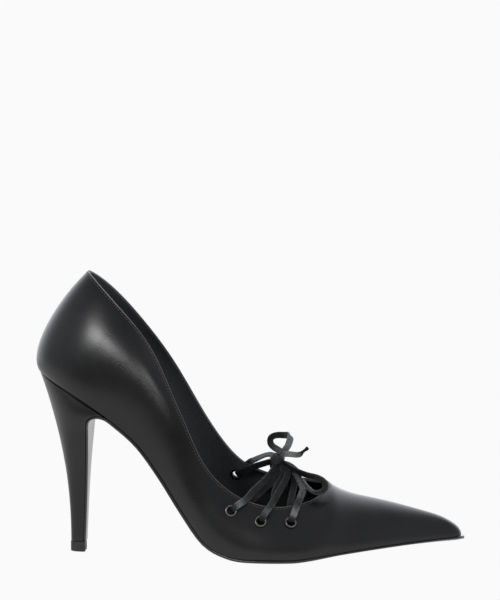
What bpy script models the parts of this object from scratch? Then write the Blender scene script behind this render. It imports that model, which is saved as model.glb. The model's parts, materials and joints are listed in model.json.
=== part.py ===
"""Right-foot pointed pump on a high tapered heel, with a laced throat and a small bow.

Lengths are in millimetres until a mesh is made, when they become metres. The toe points along +X,
the inner (medial) side of the foot is +Y, and the shoe stands on Z = 0. The upper is lofted through
cross sections of the last: each section runs from the featherline, where upper and sole meet, up to
the ridge of the vamp or to the topline of the opening.
"""

import math
from collections import namedtuple

import bmesh
import bpy
import numpy as np
from mathutils import Matrix, Vector

MM = 0.001

# Driving dimensions of the last, in millimetres
LENGTH = 236.0
BALL_WIDTH = 78.0
HEEL_HEIGHT = 100.0
INSTEP_HEIGHT = 38.9

# Thicknesses and clearances
WALL = 1.6
GAP = 0.3
TOE_SOLE_THICK = 1.7
SOLE_THICK = 2.2
WAIST_THICK = 2.0
FLAP_THICK = 1.2
INSOLE_THICK = 1.8
INSOLE_INSET = 2.6

# The outsole's edge past the featherline and its rounding
TOE_LIP = 1.9
FOREPART_LIP = 0.8
WAIST_LIP = -0.6
EDGE_ROUND = 0.7
EDGE_CAMBER = 0.8
WAIST_CAMBER = 0.2

# Heel and top lift
LIFT_HEIGHT = 5.6
LIFT_HALF_WIDTH = 4.8
LIFT_FRONT = -91.0
LIFT_BACK = -98.9
LIFT_FLANGE = 0.2
HEEL_SEAT_HALF_WIDTH = 23.8
HEEL_SEAT_Z = 79.0
HEEL_SIDE_POWER = 2.6
HEEL_BACK_POWER = 2.15
HEEL_FRONT_SECTION = 17.52
HEEL_RINGS = 17
HEEL_BEND_RINGS = 9
HEEL_RING_POWER = 1.55
HEEL_INSET = 0.4
ROUNDNESS = 2.3

# Eyelets and lace
EYELET_FLANGE_R = 3.3
EYELET_BORE_R = 2.1
EYELET_BARREL_R = 2.5
EYELET_HOLE_R = 2.8
EYELET_RIM = 0.8
EYELET_ROUND = 0.25
LACE_WIDTH = 3.8
LACE_THICK = 1.1
LACE_EDGE = 0.4
END_WIDTH = 2.2
GATHER_CENTRE = (15.5, -0.5, 49.3)
GATHER_RADII = (4.5, 4.0, 2.2)
KNOT_CENTRE = (15.2, -0.5, 53.6)
KNOT_RADII = (3.6, 3.2, 1.8)

# Plain finishes, by the first word of a piece's name
Finish = namedtuple("Finish", "colour roughness metallic")
FINISHES = {
    "upper": Finish((0.012, 0.012, 0.013), 0.42, 0.0),
    "outsole": Finish((0.010, 0.010, 0.010), 0.35, 0.0),
    "insole": Finish((0.010, 0.010, 0.010), 0.6, 0.0),
    "heel": Finish((0.012, 0.012, 0.013), 0.45, 0.0),
    "top": Finish((0.020, 0.020, 0.020), 0.6, 0.0),
    "eyelet": Finish((0.160, 0.150, 0.140), 0.3, 1.0),
    "lace": Finish((0.011, 0.011, 0.012), 0.5, 0.0),
}

# How finely the solids are faceted, and the pull of a wall's end tangents
COLUMNS_PER_SECTION = 2
ROWS_UP_WALL = 8
SIDE_POINTS = 8
ROUND_STEPS = 16
LACE_STEPS_PER_POINT = 3
TOP_HOLD = 0.35
THROAT_BLEND = 1.5
WELD = 0.01
HOLE_DEPTH = 9.6
PLATE_SHARES = (0.0, 0.25, 0.5, 0.75, 1.0)
CROWN_SHARES = (0.82, 0.5, 0.18)
TOE_RINGS = (0.12, 0.3, 0.6)
HEEL_SETTLE = 0.6

# Sections of the featherline from toe tip to heel back: along is a percentage of LENGTH from the
# heel end, height of HEEL_HEIGHT, and lateral and medial of BALL_WIDTH from the centre line.
Feather = namedtuple("Feather", "name along height lateral medial")
FEATHER = [
    Feather("toe tip", 99.15, 9.9, 6.4, 6.4),
    Feather("toe corner", 98.05, 9.6, 0.8, 11.8),
    Feather("toe", 94.4, 9.2, -4.6, 16.5),
    Feather("toe box front", 88.9, 8.5, -11.9, 23.8),
    Feather("toe box", 82.5, 7.5, -21.0, 31.8),
    Feather("toe box rear", 76.6, 6.3, -28.8, 38.1),
    Feather("vamp", 71.9, 5.2, -34.7, 42.3),
    Feather("throat", 68.1, 4.2, -39.7, 45.6),
    Feather("tread front", 64.3, 3.2, -44.2, 47.7),
    Feather("medial ball", 60.1, 2.5, -47.4, 48.5),
    Feather("lateral ball", 55.4, 2.5, -48.7, 47.2),
    Feather("tread rear", 50.3, 2.5, -47.4, 42.9),
    Feather("behind ball", 45.3, 4.2, -44.2, 37.2),
    Feather("waist front", 40.2, 10.6, -39.4, 30.8),
    Feather("waist low", 35.1, 26.7, -34.0, 25.6),
    Feather("waist", 30.0, 45.3, -30.3, 22.9),
    Feather("waist high", 24.9, 61.7, -29.1, 23.1),
    Feather("waist rear", 19.4, 73.6, -29.7, 25.6),
    Feather("breast", 13.9, 83.2, -30.8, 28.6),
    Feather("heel seat", 8.8, 90.8, -28.2, 27.4),
    Feather("heel turn", 4.6, 96.0, -19.5, 19.5),
    Feather("heel corner", 1.95, 99.2, -9.9, 9.9),
    Feather("heel back", 0.85, 100.5, 0.0, 0.0),
]
THROAT = 7
HEEL_BACK = len(FEATHER) - 1

# Ridge of the vamp at the first sections: height is a percentage of INSTEP_HEIGHT.
Ridge = namedtuple("Ridge", "name along across height")
RIDGE = [
    Ridge("toe tip", 95.3, 6.3, 49.5),
    Ridge("toe corner", 94.4, 6.2, 52.0),
    Ridge("toe", 92.1, 5.9, 56.8),
    Ridge("toe box front", 87.6, 5.4, 64.5),
    Ridge("toe box", 81.9, 4.7, 73.5),
    Ridge("toe box rear", 76.4, 4.0, 80.6),
    Ridge("vamp", 71.7, 3.2, 88.6),
    Ridge("throat", 68.3, 2.6, 100.0),
]

# Topline behind the throat, on the outer (lateral) and the inner (medial) side of each section:
# along is a percentage of LENGTH, y of BALL_WIDTH and z of HEEL_HEIGHT.
Top = namedtuple("Top", "name lat_along lat_y lat_z med_along med_y med_z")
TOPLINE = [
    Top("tread front", 66.2, -12.8, 33.6, 65.8, 12.8, 38.8),
    Top("medial ball", 62.4, -23.5, 30.5, 62.2, 19.9, 39.2),
    Top("lateral ball", 57.3, -31.8, 29.5, 57.7, 23.8, 39.6),
    Top("tread rear", 52.0, -34.6, 31.5, 52.9, 26.3, 42.0),
    Top("behind ball", 46.9, -35.3, 37.0, 48.2, 27.7, 47.0),
    Top("waist front", 42.5, -35.1, 45.8, 44.2, 28.7, 55.8),
    Top("waist low", 39.1, -34.7, 57.5, 40.5, 29.5, 67.7),
    Top("waist", 36.1, -34.4, 73.5, 37.4, 30.3, 79.5),
    Top("waist high", 33.2, -33.7, 89.0, 34.2, 30.8, 92.5),
    Top("waist rear", 30.0, -32.6, 106.5, 30.6, 30.8, 106.2),
    Top("breast", 25.8, -30.5, 123.0, 26.0, 30.1, 121.0),
    Top("heel seat", 20.3, -25.6, 137.6, 20.5, 25.6, 137.0),
    Top("heel turn", 16.0, -17.2, 147.8, 16.2, 17.3, 147.9),
    Top("heel corner", 13.4, -8.5, 153.4, 13.5, 8.6, 153.5),
    Top("heel back", 12.5, 0.0, 155.3, 12.5, 0.0, 155.3),
]

# How the wall leaves the featherline (flare, outward) and reaches its top (lean, inward), in degrees
# from upright, and how long it holds the flare. section counts along FEATHER.
Wall = namedtuple("Wall", "section hold lat_flare lat_lean med_flare med_lean")
WALLS = [
    Wall(0, 0.35, 4.0, 80.0, 4.0, 80.0),
    Wall(4, 0.35, 8.0, 80.0, 6.0, 80.0),
    Wall(7, 0.35, 10.0, 80.0, 8.0, 80.0),
    Wall(8, 0.35, 11.0, 48.0, 9.0, 54.0),
    Wall(10, 0.35, 13.0, 42.0, 12.0, 50.0),
    Wall(12, 0.35, 14.0, 31.0, 16.0, 36.0),
    Wall(14, 0.35, 15.0, 24.0, 22.0, 24.0),
    Wall(16, 0.33, 19.0, 33.0, 24.0, 30.0),
    Wall(18, 0.30, 24.0, 43.0, 24.0, 43.0),
    Wall(20, 0.25, 28.0, 49.0, 28.0, 49.0),
    Wall(22, 0.22, 30.0, 48.0, 30.0, 48.0),
]

# Visible face of the outsole from its waist, over the bend and down the heel breast, behind the section
# where it leaves the upper: along is a percentage of LENGTH and height of HEEL_HEIGHT.
FLAP_START = 17
Flap = namedtuple("Flap", "name along height")
FLAP = [
    Flap("leaves the seat", 17.45, 74.2),
    Flap("bend rise", 16.3, 75.5),
    Flap("bend top", 15.15, 75.9),
    Flap("bend", 14.05, 75.3),
    Flap("bend fall", 13.35, 73.4),
    Flap("breast top", 13.1, 70.0),
    Flap("breast high", 12.95, 63.4),
    Flap("breast middle", 12.55, 46.0),
    Flap("breast low", 12.15, 26.0),
    Flap("breast end", 11.78, 5.9),
]
FLAP_BREAST = 6
FLAP_STEP = 0.5

# The outsole's measures in millimetres, each as (section, measure) from the toe to the flap
SOLE = {
    "thick": [
        (0, TOE_SOLE_THICK), (6, TOE_SOLE_THICK), (9, SOLE_THICK), (11, SOLE_THICK), (14, WAIST_THICK),
        (FLAP_START, WAIST_THICK),
    ],
    "lip": [(0, TOE_LIP), (2, FOREPART_LIP), (10, FOREPART_LIP), (14, WAIST_LIP), (FLAP_START, WAIST_LIP)],
    "camber": [(0, EDGE_CAMBER), (11, EDGE_CAMBER), (14, WAIST_CAMBER), (FLAP_START, WAIST_CAMBER)],
}

# Eyelets, as a section and a share of the wall's height from featherline to topline
Eyelet = namedtuple("Eyelet", "name side section rise")
EYELETS = [
    Eyelet("eyelet_lateral_rear", "lat", 11.96, 0.73),
    Eyelet("eyelet_lateral_middle", "lat", 10.66, 0.70),
    Eyelet("eyelet_lateral_front", "lat", 9.40, 0.67),
    Eyelet("eyelet_medial_rear", "med", 12.19, 0.785),
    Eyelet("eyelet_medial_middle", "med", 10.85, 0.75),
    Eyelet("eyelet_medial_front", "med", 9.45, 0.72),
]

# Lace strands from an eyelet to the gather under the knot. One that crosses the topline starts outside the
# eyelet and has the section of its crossing; the others start inside. route holds the strand's free points
# and across the direction of the lace's width at its far end.
Strand = namedtuple("Strand", "name eyelet crossing across route")
STRANDS = [
    Strand("outer_lateral_rear", 0, 11.45, (0.8, -0.4, -0.4),
           [(3.7, -20, 38.9), (9.6, -11, 43.1), (13.4, -4, 47.4), (15.2, -1, 49.0)]),
    Strand("inner_lateral_rear", 0, None, (0.8, -0.4, -0.4),
           [(3.0, -21.5, 33.4), (10.6, -13, 39.4), (16, -5, 45.6), (16, -1, 48.6)]),
    Strand("outer_lateral_middle", 1, 10.35, (0.9, -0.1, -0.4),
           [(15.5, -20.5, 35.2), (19.6, -11, 41.5), (20.2, -4, 46.2), (17.5, -1, 49.0)]),
    Strand("outer_lateral_front", 2, 9.25, (0.9, 0.1, 0.3),
           [(28.3, -15.5, 34.8), (28.6, -10, 38.0), (26.2, -5.5, 42.0), (22.8, -2.6, 46.0),
            (17.6, -0.5, 49.2)]),
    Strand("inner_lateral_front", 2, None, (0.9, -0.1, -0.3),
           [(22.9, -17, 30.2), (22.6, -11.5, 36.6), (21.4, -4.5, 43.6), (17.2, -1, 48.8)]),
    Strand("outer_medial_rear", 3, 11.6, (0.7, 0.6, -0.1),
           [(3.4, 15.5, 49.6), (7.6, 9.5, 52.0), (11.5, 4.5, 51.6), (14.5, 1.0, 49.8)]),
    Strand("inner_medial_rear", 3, None, (0.7, 0.6, -0.1),
           [(-0.6, 16.5, 43.6), (5.7, 11, 46.6), (11, 4, 48.8), (14.5, 0.5, 49.2)]),
    Strand("outer_medial_middle", 4, 10.55, (0.9, 0.3, -0.1),
           [(11.5, 14.5, 45.4), (14, 8, 48.0), (15.4, 1, 49.2)]),
    Strand("outer_medial_front", 5, 9.3, (0.8, 0.5, 0.1),
           [(24.2, 12.6, 43.6), (21, 7, 47.0), (17, 1, 49.2)]),
]

# The bow's free pieces, which leave the knot: their routes, and the direction of the lace's width
Bow = namedtuple("Bow", "name across route")
BOWS = [
    Bow("lace_loop_up", (0.3, -0.9, 0.25),
        [(14.0, 0.3, 56.4), (10.7, 2, 58.4), (9, 4, 61.5), (11.4, 7, 64.5), (15.5, 8, 65.4),
         (19.7, 5, 65.4),
         (22.4, 1.5, 63.7), (21.8, 0, 60.9), (20.2, 0.2, 58.0), (17.8, 0.6, 56.6)]),
    Bow("lace_loop_front", (0.2, -0.75, 0.65),
        [(18.6, -4.4, 51.8), (23.4, -9, 49.1), (30.3, -11, 45.1), (38, -12, 44.1), (42.5, -12.5, 40.7),
         (40.9, -14, 36.4), (35.1, -16, 36.2), (30.9, -14.5, 39.5), (28.6, -12, 43), (24, -8.2, 46.8)]),
    Bow("lace_end", (0.2, 0.1, 0.95),
        [(19.4, -3.8, 54.3), (22, -5, 55.2), (26.5, -6, 55.8), (28.8, -6, 56.7), (32, -7, 59.2)]),
]


def along_to_x(along):
    return (along / 100.0 - 0.5) * LENGTH


def across_to_y(across):
    return across / 100.0 * BALL_WIDTH


def height_to_z(height):
    return height / 100.0 * HEEL_HEIGHT


def rise_between(keys, values, at):
    """Monotone cubic through (key, value) rows, read at the given places: it never overshoots."""
    keys = np.asarray(keys, float)
    values = np.asarray(values, float)
    steps = np.diff(keys)
    slopes = np.diff(values) / steps
    tangents = np.concatenate([slopes[:1], (slopes[:-1] + slopes[1:]) / 2, slopes[-1:]])
    turning = np.concatenate([[False], slopes[:-1] * slopes[1:] <= 0, [False]])
    tangents[turning] = 0.0
    limit = 3 * np.minimum(np.abs(np.append(slopes, slopes[-1])), np.abs(np.append(slopes[0], slopes)))
    tangents = np.clip(tangents, -limit, limit)
    at = np.asarray(at, float)
    i = np.clip(np.searchsorted(keys, at, side="right") - 1, 0, len(steps) - 1)
    t = (at - keys[i]) / steps[i]
    return (
        values[i] * (1 + 2 * t) * (1 - t) ** 2
        + values[i + 1] * t * t * (3 - 2 * t)
        + steps[i] * (tangents[i] * t * (1 - t) ** 2 - tangents[i + 1] * t * t * (1 - t))
    )


def smooth_curve(points, at, closed=False):
    """Twice-smooth cubic curve through the points, read at places counted in points."""
    points = np.asarray(points, float)
    count = len(points)
    system = np.zeros((count, count))
    right = np.zeros_like(points)
    for i in range(count):
        before = (i - 1) % count
        after = (i + 1) % count
        if not closed and i in (0, count - 1):
            system[i, i] = 1.0
            continue
        system[i, before] += 1.0
        system[i, i] += 4.0
        system[i, after] += 1.0
        right[i] = 6 * (points[before] - 2 * points[i] + points[after])
    bends = np.linalg.solve(system, right)
    at = np.atleast_1d(np.asarray(at, float))
    if closed:
        at = at % count
    i = np.clip(np.floor(at).astype(int), 0, count - 1 if closed else count - 2)
    j = (i + 1) % count
    t = (at - i)[:, None]
    s = 1 - t
    return points[i] * s + points[j] * t + ((s**3 - s) * bends[i] + (t**3 - t) * bends[j]) / 6


def feather_loop():
    """The featherline's section points, out along the lateral side and back along the medial side."""
    def point(row, across):
        return (along_to_x(row.along), across_to_y(across), height_to_z(row.height))

    out = [point(row, row.lateral) for row in FEATHER]
    home = [point(row, row.medial) for row in reversed(FEATHER[1:-1])]
    return np.array(out + home)


def topline_loop():
    """The topline's section points, from the throat out along the lateral side and back."""
    def point(along, across, height):
        return (along_to_x(along), across_to_y(across), height_to_z(height))

    front = ridge_points()[-1]
    out = [point(row.lat_along, row.lat_y, row.lat_z) for row in TOPLINE]
    home = [point(row.med_along, row.med_y, row.med_z) for row in reversed(TOPLINE[:-1])]
    return np.array([front] + out + home)


def ridge_points():
    return np.array([
        (along_to_x(row.along), across_to_y(row.across), row.height / 100.0 * INSTEP_HEIGHT)
        for row in RIDGE
    ])


FEATHER_LOOP = feather_loop()
TOPLINE_LOOP = topline_loop()
RIDGE_POINTS = ridge_points()


def loop_place(section, side, first=0):
    """A section number as a place on a closed loop that starts at section first."""
    return section - first if side == "lat" else first - section


def feather_point(section, side):
    """Point of the featherline; its height follows the bottom profile exactly."""
    place = loop_place(section, side)
    x, y, z = smooth_curve(FEATHER_LOOP, place, closed=True)[0]
    return np.array((x, y, bottom_height(x)))


def bottom_height(x):
    """Height of the featherline over the floor, along the shoe."""
    keys = [along_to_x(row.along) for row in reversed(FEATHER)]
    heights = [height_to_z(row.height) for row in reversed(FEATHER)]
    return float(rise_between(keys, heights, np.clip(x, keys[0], keys[-1])))


def plan_outward(section, side):
    """Horizontal unit vector out of the shoe, square to the featherline in plan."""
    step = 0.02
    place = loop_place(section, side)
    ahead, behind = smooth_curve(FEATHER_LOOP, [place + step, place - step], closed=True)
    run = (ahead - behind)[:2]
    run = run / np.linalg.norm(run)
    return np.array((-run[1], run[0], 0.0))


def top_point(section, side):
    """Ridge of the vamp before the throat, topline behind it."""
    if section <= THROAT:
        return smooth_curve(RIDGE_POINTS, section)[0]
    return smooth_curve(TOPLINE_LOOP, loop_place(section, side, THROAT), closed=True)[0]


def wall_column(column, section):
    """One column of WALLS, read between its rows."""
    keys = [row.section for row in WALLS]
    return float(rise_between(keys, [getattr(row, column) for row in WALLS], section))


def ridge_outward(section, outward):
    """The outward direction laid into the vamp's surface at its ridge."""
    step = 0.05
    ends = np.clip([section + step, section - step], 0, THROAT)
    behind, ahead = smooth_curve(RIDGE_POINTS, ends)
    run = (ahead - behind) / np.linalg.norm(ahead - behind)
    normal = np.cross(run, (0.0, 1.0, 0.0))
    normal = normal / np.linalg.norm(normal)
    laid = outward - normal * (outward @ normal)
    return laid / np.linalg.norm(laid)


def wall_curve(section, side, rises):
    """Points up the outside of the upper at one section; a rise is 0 at the featherline, 1 at the top."""
    foot = feather_point(section, side)
    top = top_point(section, side)
    outward = plan_outward(section, side)
    chord = top - foot
    reach = np.linalg.norm(chord)
    upward = chord - outward * (chord @ outward)
    upward = upward / np.linalg.norm(upward)
    flare = math.radians(wall_column(side + "_flare", section))
    lean = math.radians(wall_column(side + "_lean", section))
    hold = reach * wall_column("hold", section)
    low = foot + hold * (math.cos(flare) * upward + math.sin(flare) * outward)
    leave = ridge_outward(min(section, THROAT), outward)
    if section > THROAT:
        share = min((section - THROAT) / THROAT_BLEND, 1.0)
        share = share * share * (3 - 2 * share)
        leave = leave * (1 - share) + (math.sin(lean) * outward - math.cos(lean) * upward) * share
    high = top + reach * TOP_HOLD * leave
    t = np.asarray(rises, float)[:, None]
    s = 1 - t
    return s**3 * foot + 3 * s * s * t * low + 3 * s * t * t * high + t**3 * top


def wall_point(section, side, rise):
    return wall_curve(section, side, [rise])[0]


def wall_frame(section, side, rise):
    """Point on the upper, its outward normal and the direction up the wall."""
    step = 0.02
    here = wall_point(section, side, rise)
    upward = wall_point(section, side, rise + step) - wall_point(section, side, rise - step)
    forward = wall_point(section - step, side, rise) - wall_point(section + step, side, rise)
    normal = np.cross(forward, upward) if side == "lat" else np.cross(upward, forward)
    return here, normal / np.linalg.norm(normal), upward / np.linalg.norm(upward)


def finish(name):
    """The piece's own material, in the plain colour of what it is made of."""
    kind = FINISHES[name.split("_")[0]]
    material = bpy.data.materials.new(name + "_finish")
    material.use_nodes = True
    shader = material.node_tree.nodes["Principled BSDF"]
    shader.inputs["Base Color"].default_value = (*kind.colour, 1.0)
    shader.inputs["Roughness"].default_value = kind.roughness
    shader.inputs["Metallic"].default_value = kind.metallic
    return material


def clear_scene():
    for old in list(bpy.data.objects):
        bpy.data.objects.remove(old, do_unlink=True)


def new_collection(name):
    made = bpy.data.collections.new(name)
    bpy.context.scene.collection.children.link(made)
    return made


def add_object(name, mesh_source, collection):
    """Links a bmesh, in millimetres, as an object in metres."""
    bmesh.ops.scale(mesh_source, vec=(MM, MM, MM), verts=mesh_source.verts)
    mesh = bpy.data.meshes.new(name)
    mesh_source.to_mesh(mesh)
    mesh_source.free()
    made = bpy.data.objects.new(name, mesh)
    collection.objects.link(made)
    return made


def add_part(name, mesh_source, parts):
    """Links a piece of the shoe, smooth and with its own material."""
    made = add_object(name, mesh_source, parts)
    made.data.materials.append(finish(name))
    made.data.shade_smooth()
    return made


def add_cutter(name, mesh_source, collection):
    cutter = add_object(name, mesh_source, collection)
    cutter.hide_render = True
    cutter.display_type = "WIRE"
    return cutter


def cut(target, cutter, operation="DIFFERENCE"):
    modifier = target.modifiers.new(cutter.name, "BOOLEAN")
    modifier.operation = operation
    modifier.object = cutter


def loft(rings, closed_rings=True, caps=True):
    """A skin through rings of equal point counts, with flat caps on the first and the last ring."""
    skin = bmesh.new()
    rows = [[skin.verts.new(point) for point in ring] for ring in rings]
    count = len(rows[0])
    for row, after in zip(rows, rows[1:]):
        for i in range(count if closed_rings else count - 1):
            j = (i + 1) % count
            skin.faces.new((row[i], row[j], after[j], after[i]))
    if caps:
        skin.faces.new(reversed(rows[0]))
        skin.faces.new(rows[-1])
    bmesh.ops.recalc_face_normals(skin, faces=skin.faces)
    return skin


def build_upper(parts, cutters):
    """One leather wall from the featherline to the topline, closed over the toe and open below."""
    per = COLUMNS_PER_SECTION
    rises = np.linspace(0, 1, ROWS_UP_WALL + 1)
    out = [(k / per, "lat") for k in range(HEEL_BACK * per + 1)]
    home = [(k / per, "med") for k in range(HEEL_BACK * per - 1, 0, -1)]
    columns = [wall_curve(section, side, rises) for section, side in out + home]
    skin = bmesh.new()
    grid = [[skin.verts.new(point) for point in column] for column in columns]
    for column, after in zip(grid, grid[1:] + grid[:1]):
        for low in range(ROWS_UP_WALL):
            skin.faces.new((column[low], column[low + 1], after[low + 1], after[low]))
    bmesh.ops.remove_doubles(skin, verts=skin.verts, dist=WELD)
    upper = add_part("upper", skin, parts)
    shell = upper.modifiers.new("leather_thickness", "SOLIDIFY")
    shell.thickness = WALL * MM
    shell.offset = -1.0
    shell.use_even_offset = True
    for eyelet in EYELETS:
        cut(upper, build_hole_cutter(eyelet, cutters))
    return upper


def eyelet_matrix(eyelet):
    """Turns +Z to the upper's outward normal and moves the origin to the eyelet's seat."""
    place, normal, _ = wall_frame(eyelet.section, eyelet.side, eyelet.rise)
    turn = Vector(normal).to_track_quat("Z", "Y").to_matrix().to_4x4()
    return Matrix.Translation(Vector(place)) @ turn


def build_hole_cutter(eyelet, cutters):
    tool = bmesh.new()
    bmesh.ops.create_cone(
        tool, cap_ends=True, segments=ROUND_STEPS, radius1=EYELET_HOLE_R, radius2=EYELET_HOLE_R,
        depth=HOLE_DEPTH,
    )
    bmesh.ops.transform(tool, matrix=eyelet_matrix(eyelet), verts=tool.verts)
    return add_cutter(eyelet.name + "_hole", tool, cutters)


def build_eyelet(eyelet, parts):
    """A turned metal eyelet: barrel through the leather and a rolled flange on the outside."""
    top = GAP + EYELET_RIM
    inner = -WALL - GAP
    profile = [
        (EYELET_BORE_R, top - EYELET_ROUND),
        (EYELET_BORE_R + EYELET_ROUND, top),
        (EYELET_FLANGE_R - EYELET_ROUND, top),
        (EYELET_FLANGE_R, top - EYELET_ROUND),
        (EYELET_FLANGE_R, GAP),
        (EYELET_BARREL_R, GAP),
        (EYELET_BARREL_R, inner),
        (EYELET_BORE_R, inner),
    ]
    outline = bmesh.new()
    points = [outline.verts.new((radius, 0.0, z)) for radius, z in profile]
    for point, after in zip(points, points[1:] + points[:1]):
        outline.edges.new((point, after))
    made = add_part(eyelet.name, outline, parts)
    turned = made.modifiers.new("turned", "SCREW")
    turned.steps = turned.render_steps = ROUND_STEPS
    turned.use_merge_vertices = True
    turned.merge_threshold = GAP * MM / 10
    turned.use_normal_calculate = True
    place = eyelet_matrix(eyelet)
    place.translation *= MM
    made.matrix_world = place
    return made


def ribbon(route, first_across, last_across, end_width=LACE_WIDTH):
    """A flat lace through the route's points, its width turned from one direction to the other."""
    count = LACE_STEPS_PER_POINT * (len(route) - 1) + 1
    line = smooth_curve(route, np.linspace(0, len(route) - 1, count))
    rings = []
    for share, here, run in zip(np.linspace(0, 1, count), line, np.gradient(line, axis=0)):
        run = run / np.linalg.norm(run)
        across = np.asarray(first_across) * (1 - share) + np.asarray(last_across) * share
        across = across - run * (across @ run)
        across = across / np.linalg.norm(across)
        face = np.cross(run, across)
        half = (LACE_WIDTH + (end_width - LACE_WIDTH) * share) / 2
        flat = half - LACE_EDGE
        outline = [(half, 0), (flat, 1), (-flat, 1), (-half, 0), (-flat, -1), (flat, -1)]
        rings.append([here + across * wide + face * (high * LACE_THICK / 2) for wide, high in outline])
    return loft(rings)


def strand_ribbon(strand):
    """One lace strand: clear of its eyelet and of the leather, over the topline or under it."""
    eyelet = EYELETS[strand.eyelet]
    place, normal, _ = wall_frame(eyelet.section, eyelet.side, eyelet.rise)
    half = LACE_THICK / 2
    if strand.crossing is None:
        start = [place - normal * (WALL + 4 * GAP + half)]
    else:
        rim, rim_normal, _ = wall_frame(strand.crossing, eyelet.side, 1.0)
        start = [place + normal * (EYELET_RIM + 3 * GAP + half), rim + rim_normal * (3 * GAP + half)]
    route = np.array(start + list(strand.route), float)
    first_across = np.cross(route[1] - route[0], normal)
    if first_across @ np.asarray(strand.across) < 0:
        first_across = -first_across
    return ribbon(route, first_across / np.linalg.norm(first_across), strand.across)


def ball(centre, radii):
    shape = bmesh.new()
    bmesh.ops.create_uvsphere(shape, u_segments=ROUND_STEPS, v_segments=ROUND_STEPS // 2, radius=1.0)
    bmesh.ops.scale(shape, vec=radii, verts=shape.verts)
    bmesh.ops.translate(shape, vec=centre, verts=shape.verts)
    return shape


def build_lace(parts, cutters):
    """The lace: its strands joined at a gather, the knot over it, the bow's loops and the free end."""
    bars = add_part("lace_bars", ball(GATHER_CENTRE, GATHER_RADII), parts)
    for strand in STRANDS:
        cut(bars, add_cutter("strand_" + strand.name, strand_ribbon(strand), cutters), "UNION")
    add_part("lace_knot", ball(KNOT_CENTRE, KNOT_RADII), parts)
    for bow in BOWS:
        end_width = END_WIDTH if bow.name == "lace_end" else LACE_WIDTH
        add_part(bow.name, ribbon(bow.route, bow.across, bow.across, end_width), parts)


def bottom_normal(x):
    """Unit vector square to the bottom profile, pointing up into the shoe."""
    step = 0.5
    slope = (bottom_height(x + step) - bottom_height(x - step)) / (2 * step)
    return np.array((-slope, 0.0, 1.0)) / math.hypot(1.0, slope)


def sole_edge(section, lip):
    """Lateral and medial points of the featherline, moved out by the lip along the bottom profile."""
    edges = []
    for side in ("lat", "med"):
        x, y, _ = feather_point(section, side) + lip * plan_outward(section, side)
        edges.append(np.array((x, y, bottom_height(x))))
    return edges


def plate_ring(lateral, medial, into, top, thick, camber):
    """Ring of a plate from edge to edge: flat on top, with rounded and slightly raised lower edges."""
    across = medial - lateral
    inset = across / np.linalg.norm(across) * EDGE_ROUND
    upper_side = [lateral + across * f + into * top for f in PLATE_SHARES]
    edge_low = top - thick + camber
    middle = (top + edge_low) / 2
    lower_side = [lateral + across * f + into * (top - thick) for f in CROWN_SHARES]
    medial_edge = [medial + into * middle, medial - inset + into * edge_low]
    lateral_edge = [lateral + inset + into * edge_low, lateral + into * middle]
    return upper_side + medial_edge + lower_side + lateral_edge


def sole_column(column, section):
    """One measure of the outsole, read between its rows in SOLE."""
    rows = SOLE[column]
    return float(rise_between([row[0] for row in rows], [row[1] for row in rows], section))


def sole_thickness(section):
    return sole_column("thick", section)


def sole_lip(section):
    return sole_column("lip", section)


def sole_camber(section):
    return sole_column("camber", section)


def heel_half_width(z):
    """Half the heel's width at a height: slender from the top lift up, then spreading to the seat."""
    share = np.clip((z - LIFT_HEIGHT) / (HEEL_SEAT_Z - LIFT_HEIGHT), 0.0, 1.0)
    return LIFT_HALF_WIDTH + (HEEL_SEAT_HALF_WIDTH - LIFT_HALF_WIDTH) * share**HEEL_SIDE_POWER


def flap_path(place):
    """Point on the outsole's visible face behind the waist, and the direction into the heel."""
    lateral, medial = sole_edge(FLAP_START, WAIST_LIP)
    start = (lateral + medial) / 2
    start = start - bottom_normal(start[0]) * (GAP + WAIST_THICK)
    rows = [start * (1, 0, 1)] + [(along_to_x(row.along), 0.0, height_to_z(row.height)) for row in FLAP]
    step = 0.02
    here, ahead, behind = smooth_curve(rows, [place, place + step, place - step])
    run = (ahead - behind) / np.linalg.norm(ahead - behind)
    return here, np.array((run[2], 0.0, -run[0]))


def flap_thickness(place):
    return WAIST_THICK + (FLAP_THICK - WAIST_THICK) * min(place / FLAP_BREAST, 1.0)


def build_outsole(parts):
    """Leather outsole: forepart, waist and the flap that runs down the heel breast."""
    rings = []
    for section in list(TOE_RINGS) + [k / 2 for k in range(2, 2 * FLAP_START + 1)]:
        lateral, medial = sole_edge(section, sole_lip(section))
        into = bottom_normal((lateral[0] + medial[0]) / 2)
        rings.append(plate_ring(lateral, medial, into, -GAP, sole_thickness(section), sole_camber(section)))
    lateral, medial = sole_edge(FLAP_START, WAIST_LIP)
    for place in np.arange(FLAP_STEP, len(FLAP) + FLAP_STEP / 2, FLAP_STEP):
        seen, into = flap_path(place)
        turned = min(place / FLAP_BREAST, 1.0)
        half = heel_half_width(seen[2])
        edge_lateral = np.array((seen[0], lateral[1] * (1 - turned) - half * turned, seen[2]))
        edge_medial = np.array((seen[0], medial[1] * (1 - turned) + half * turned, seen[2]))
        thick = flap_thickness(place)
        rings.append(plate_ring(edge_lateral, edge_medial, into, thick, thick, WAIST_CAMBER))
    return add_part("outsole", loft(rings), parts)


def build_insole(parts):
    """Insole board inside the upper, from toe to heel back."""
    rings = []
    last = 2 * HEEL_BACK
    sections = [0.5] + [k / 2 for k in range(2, last - 1)] + [HEEL_BACK - 0.5]
    for section in sections:
        lateral, medial = sole_edge(section, -INSOLE_INSET)
        into = bottom_normal((lateral[0] + medial[0]) / 2)
        across = medial - lateral
        shares = (0.0, 0.25, 0.5, 0.75, 1.0)
        upper_side = [lateral + across * f + into * INSOLE_THICK for f in shares]
        lower_side = [lateral + across * f for f in reversed(shares)]
        rings.append(upper_side + lower_side)
    return add_part("insole", loft(rings), parts)


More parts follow.
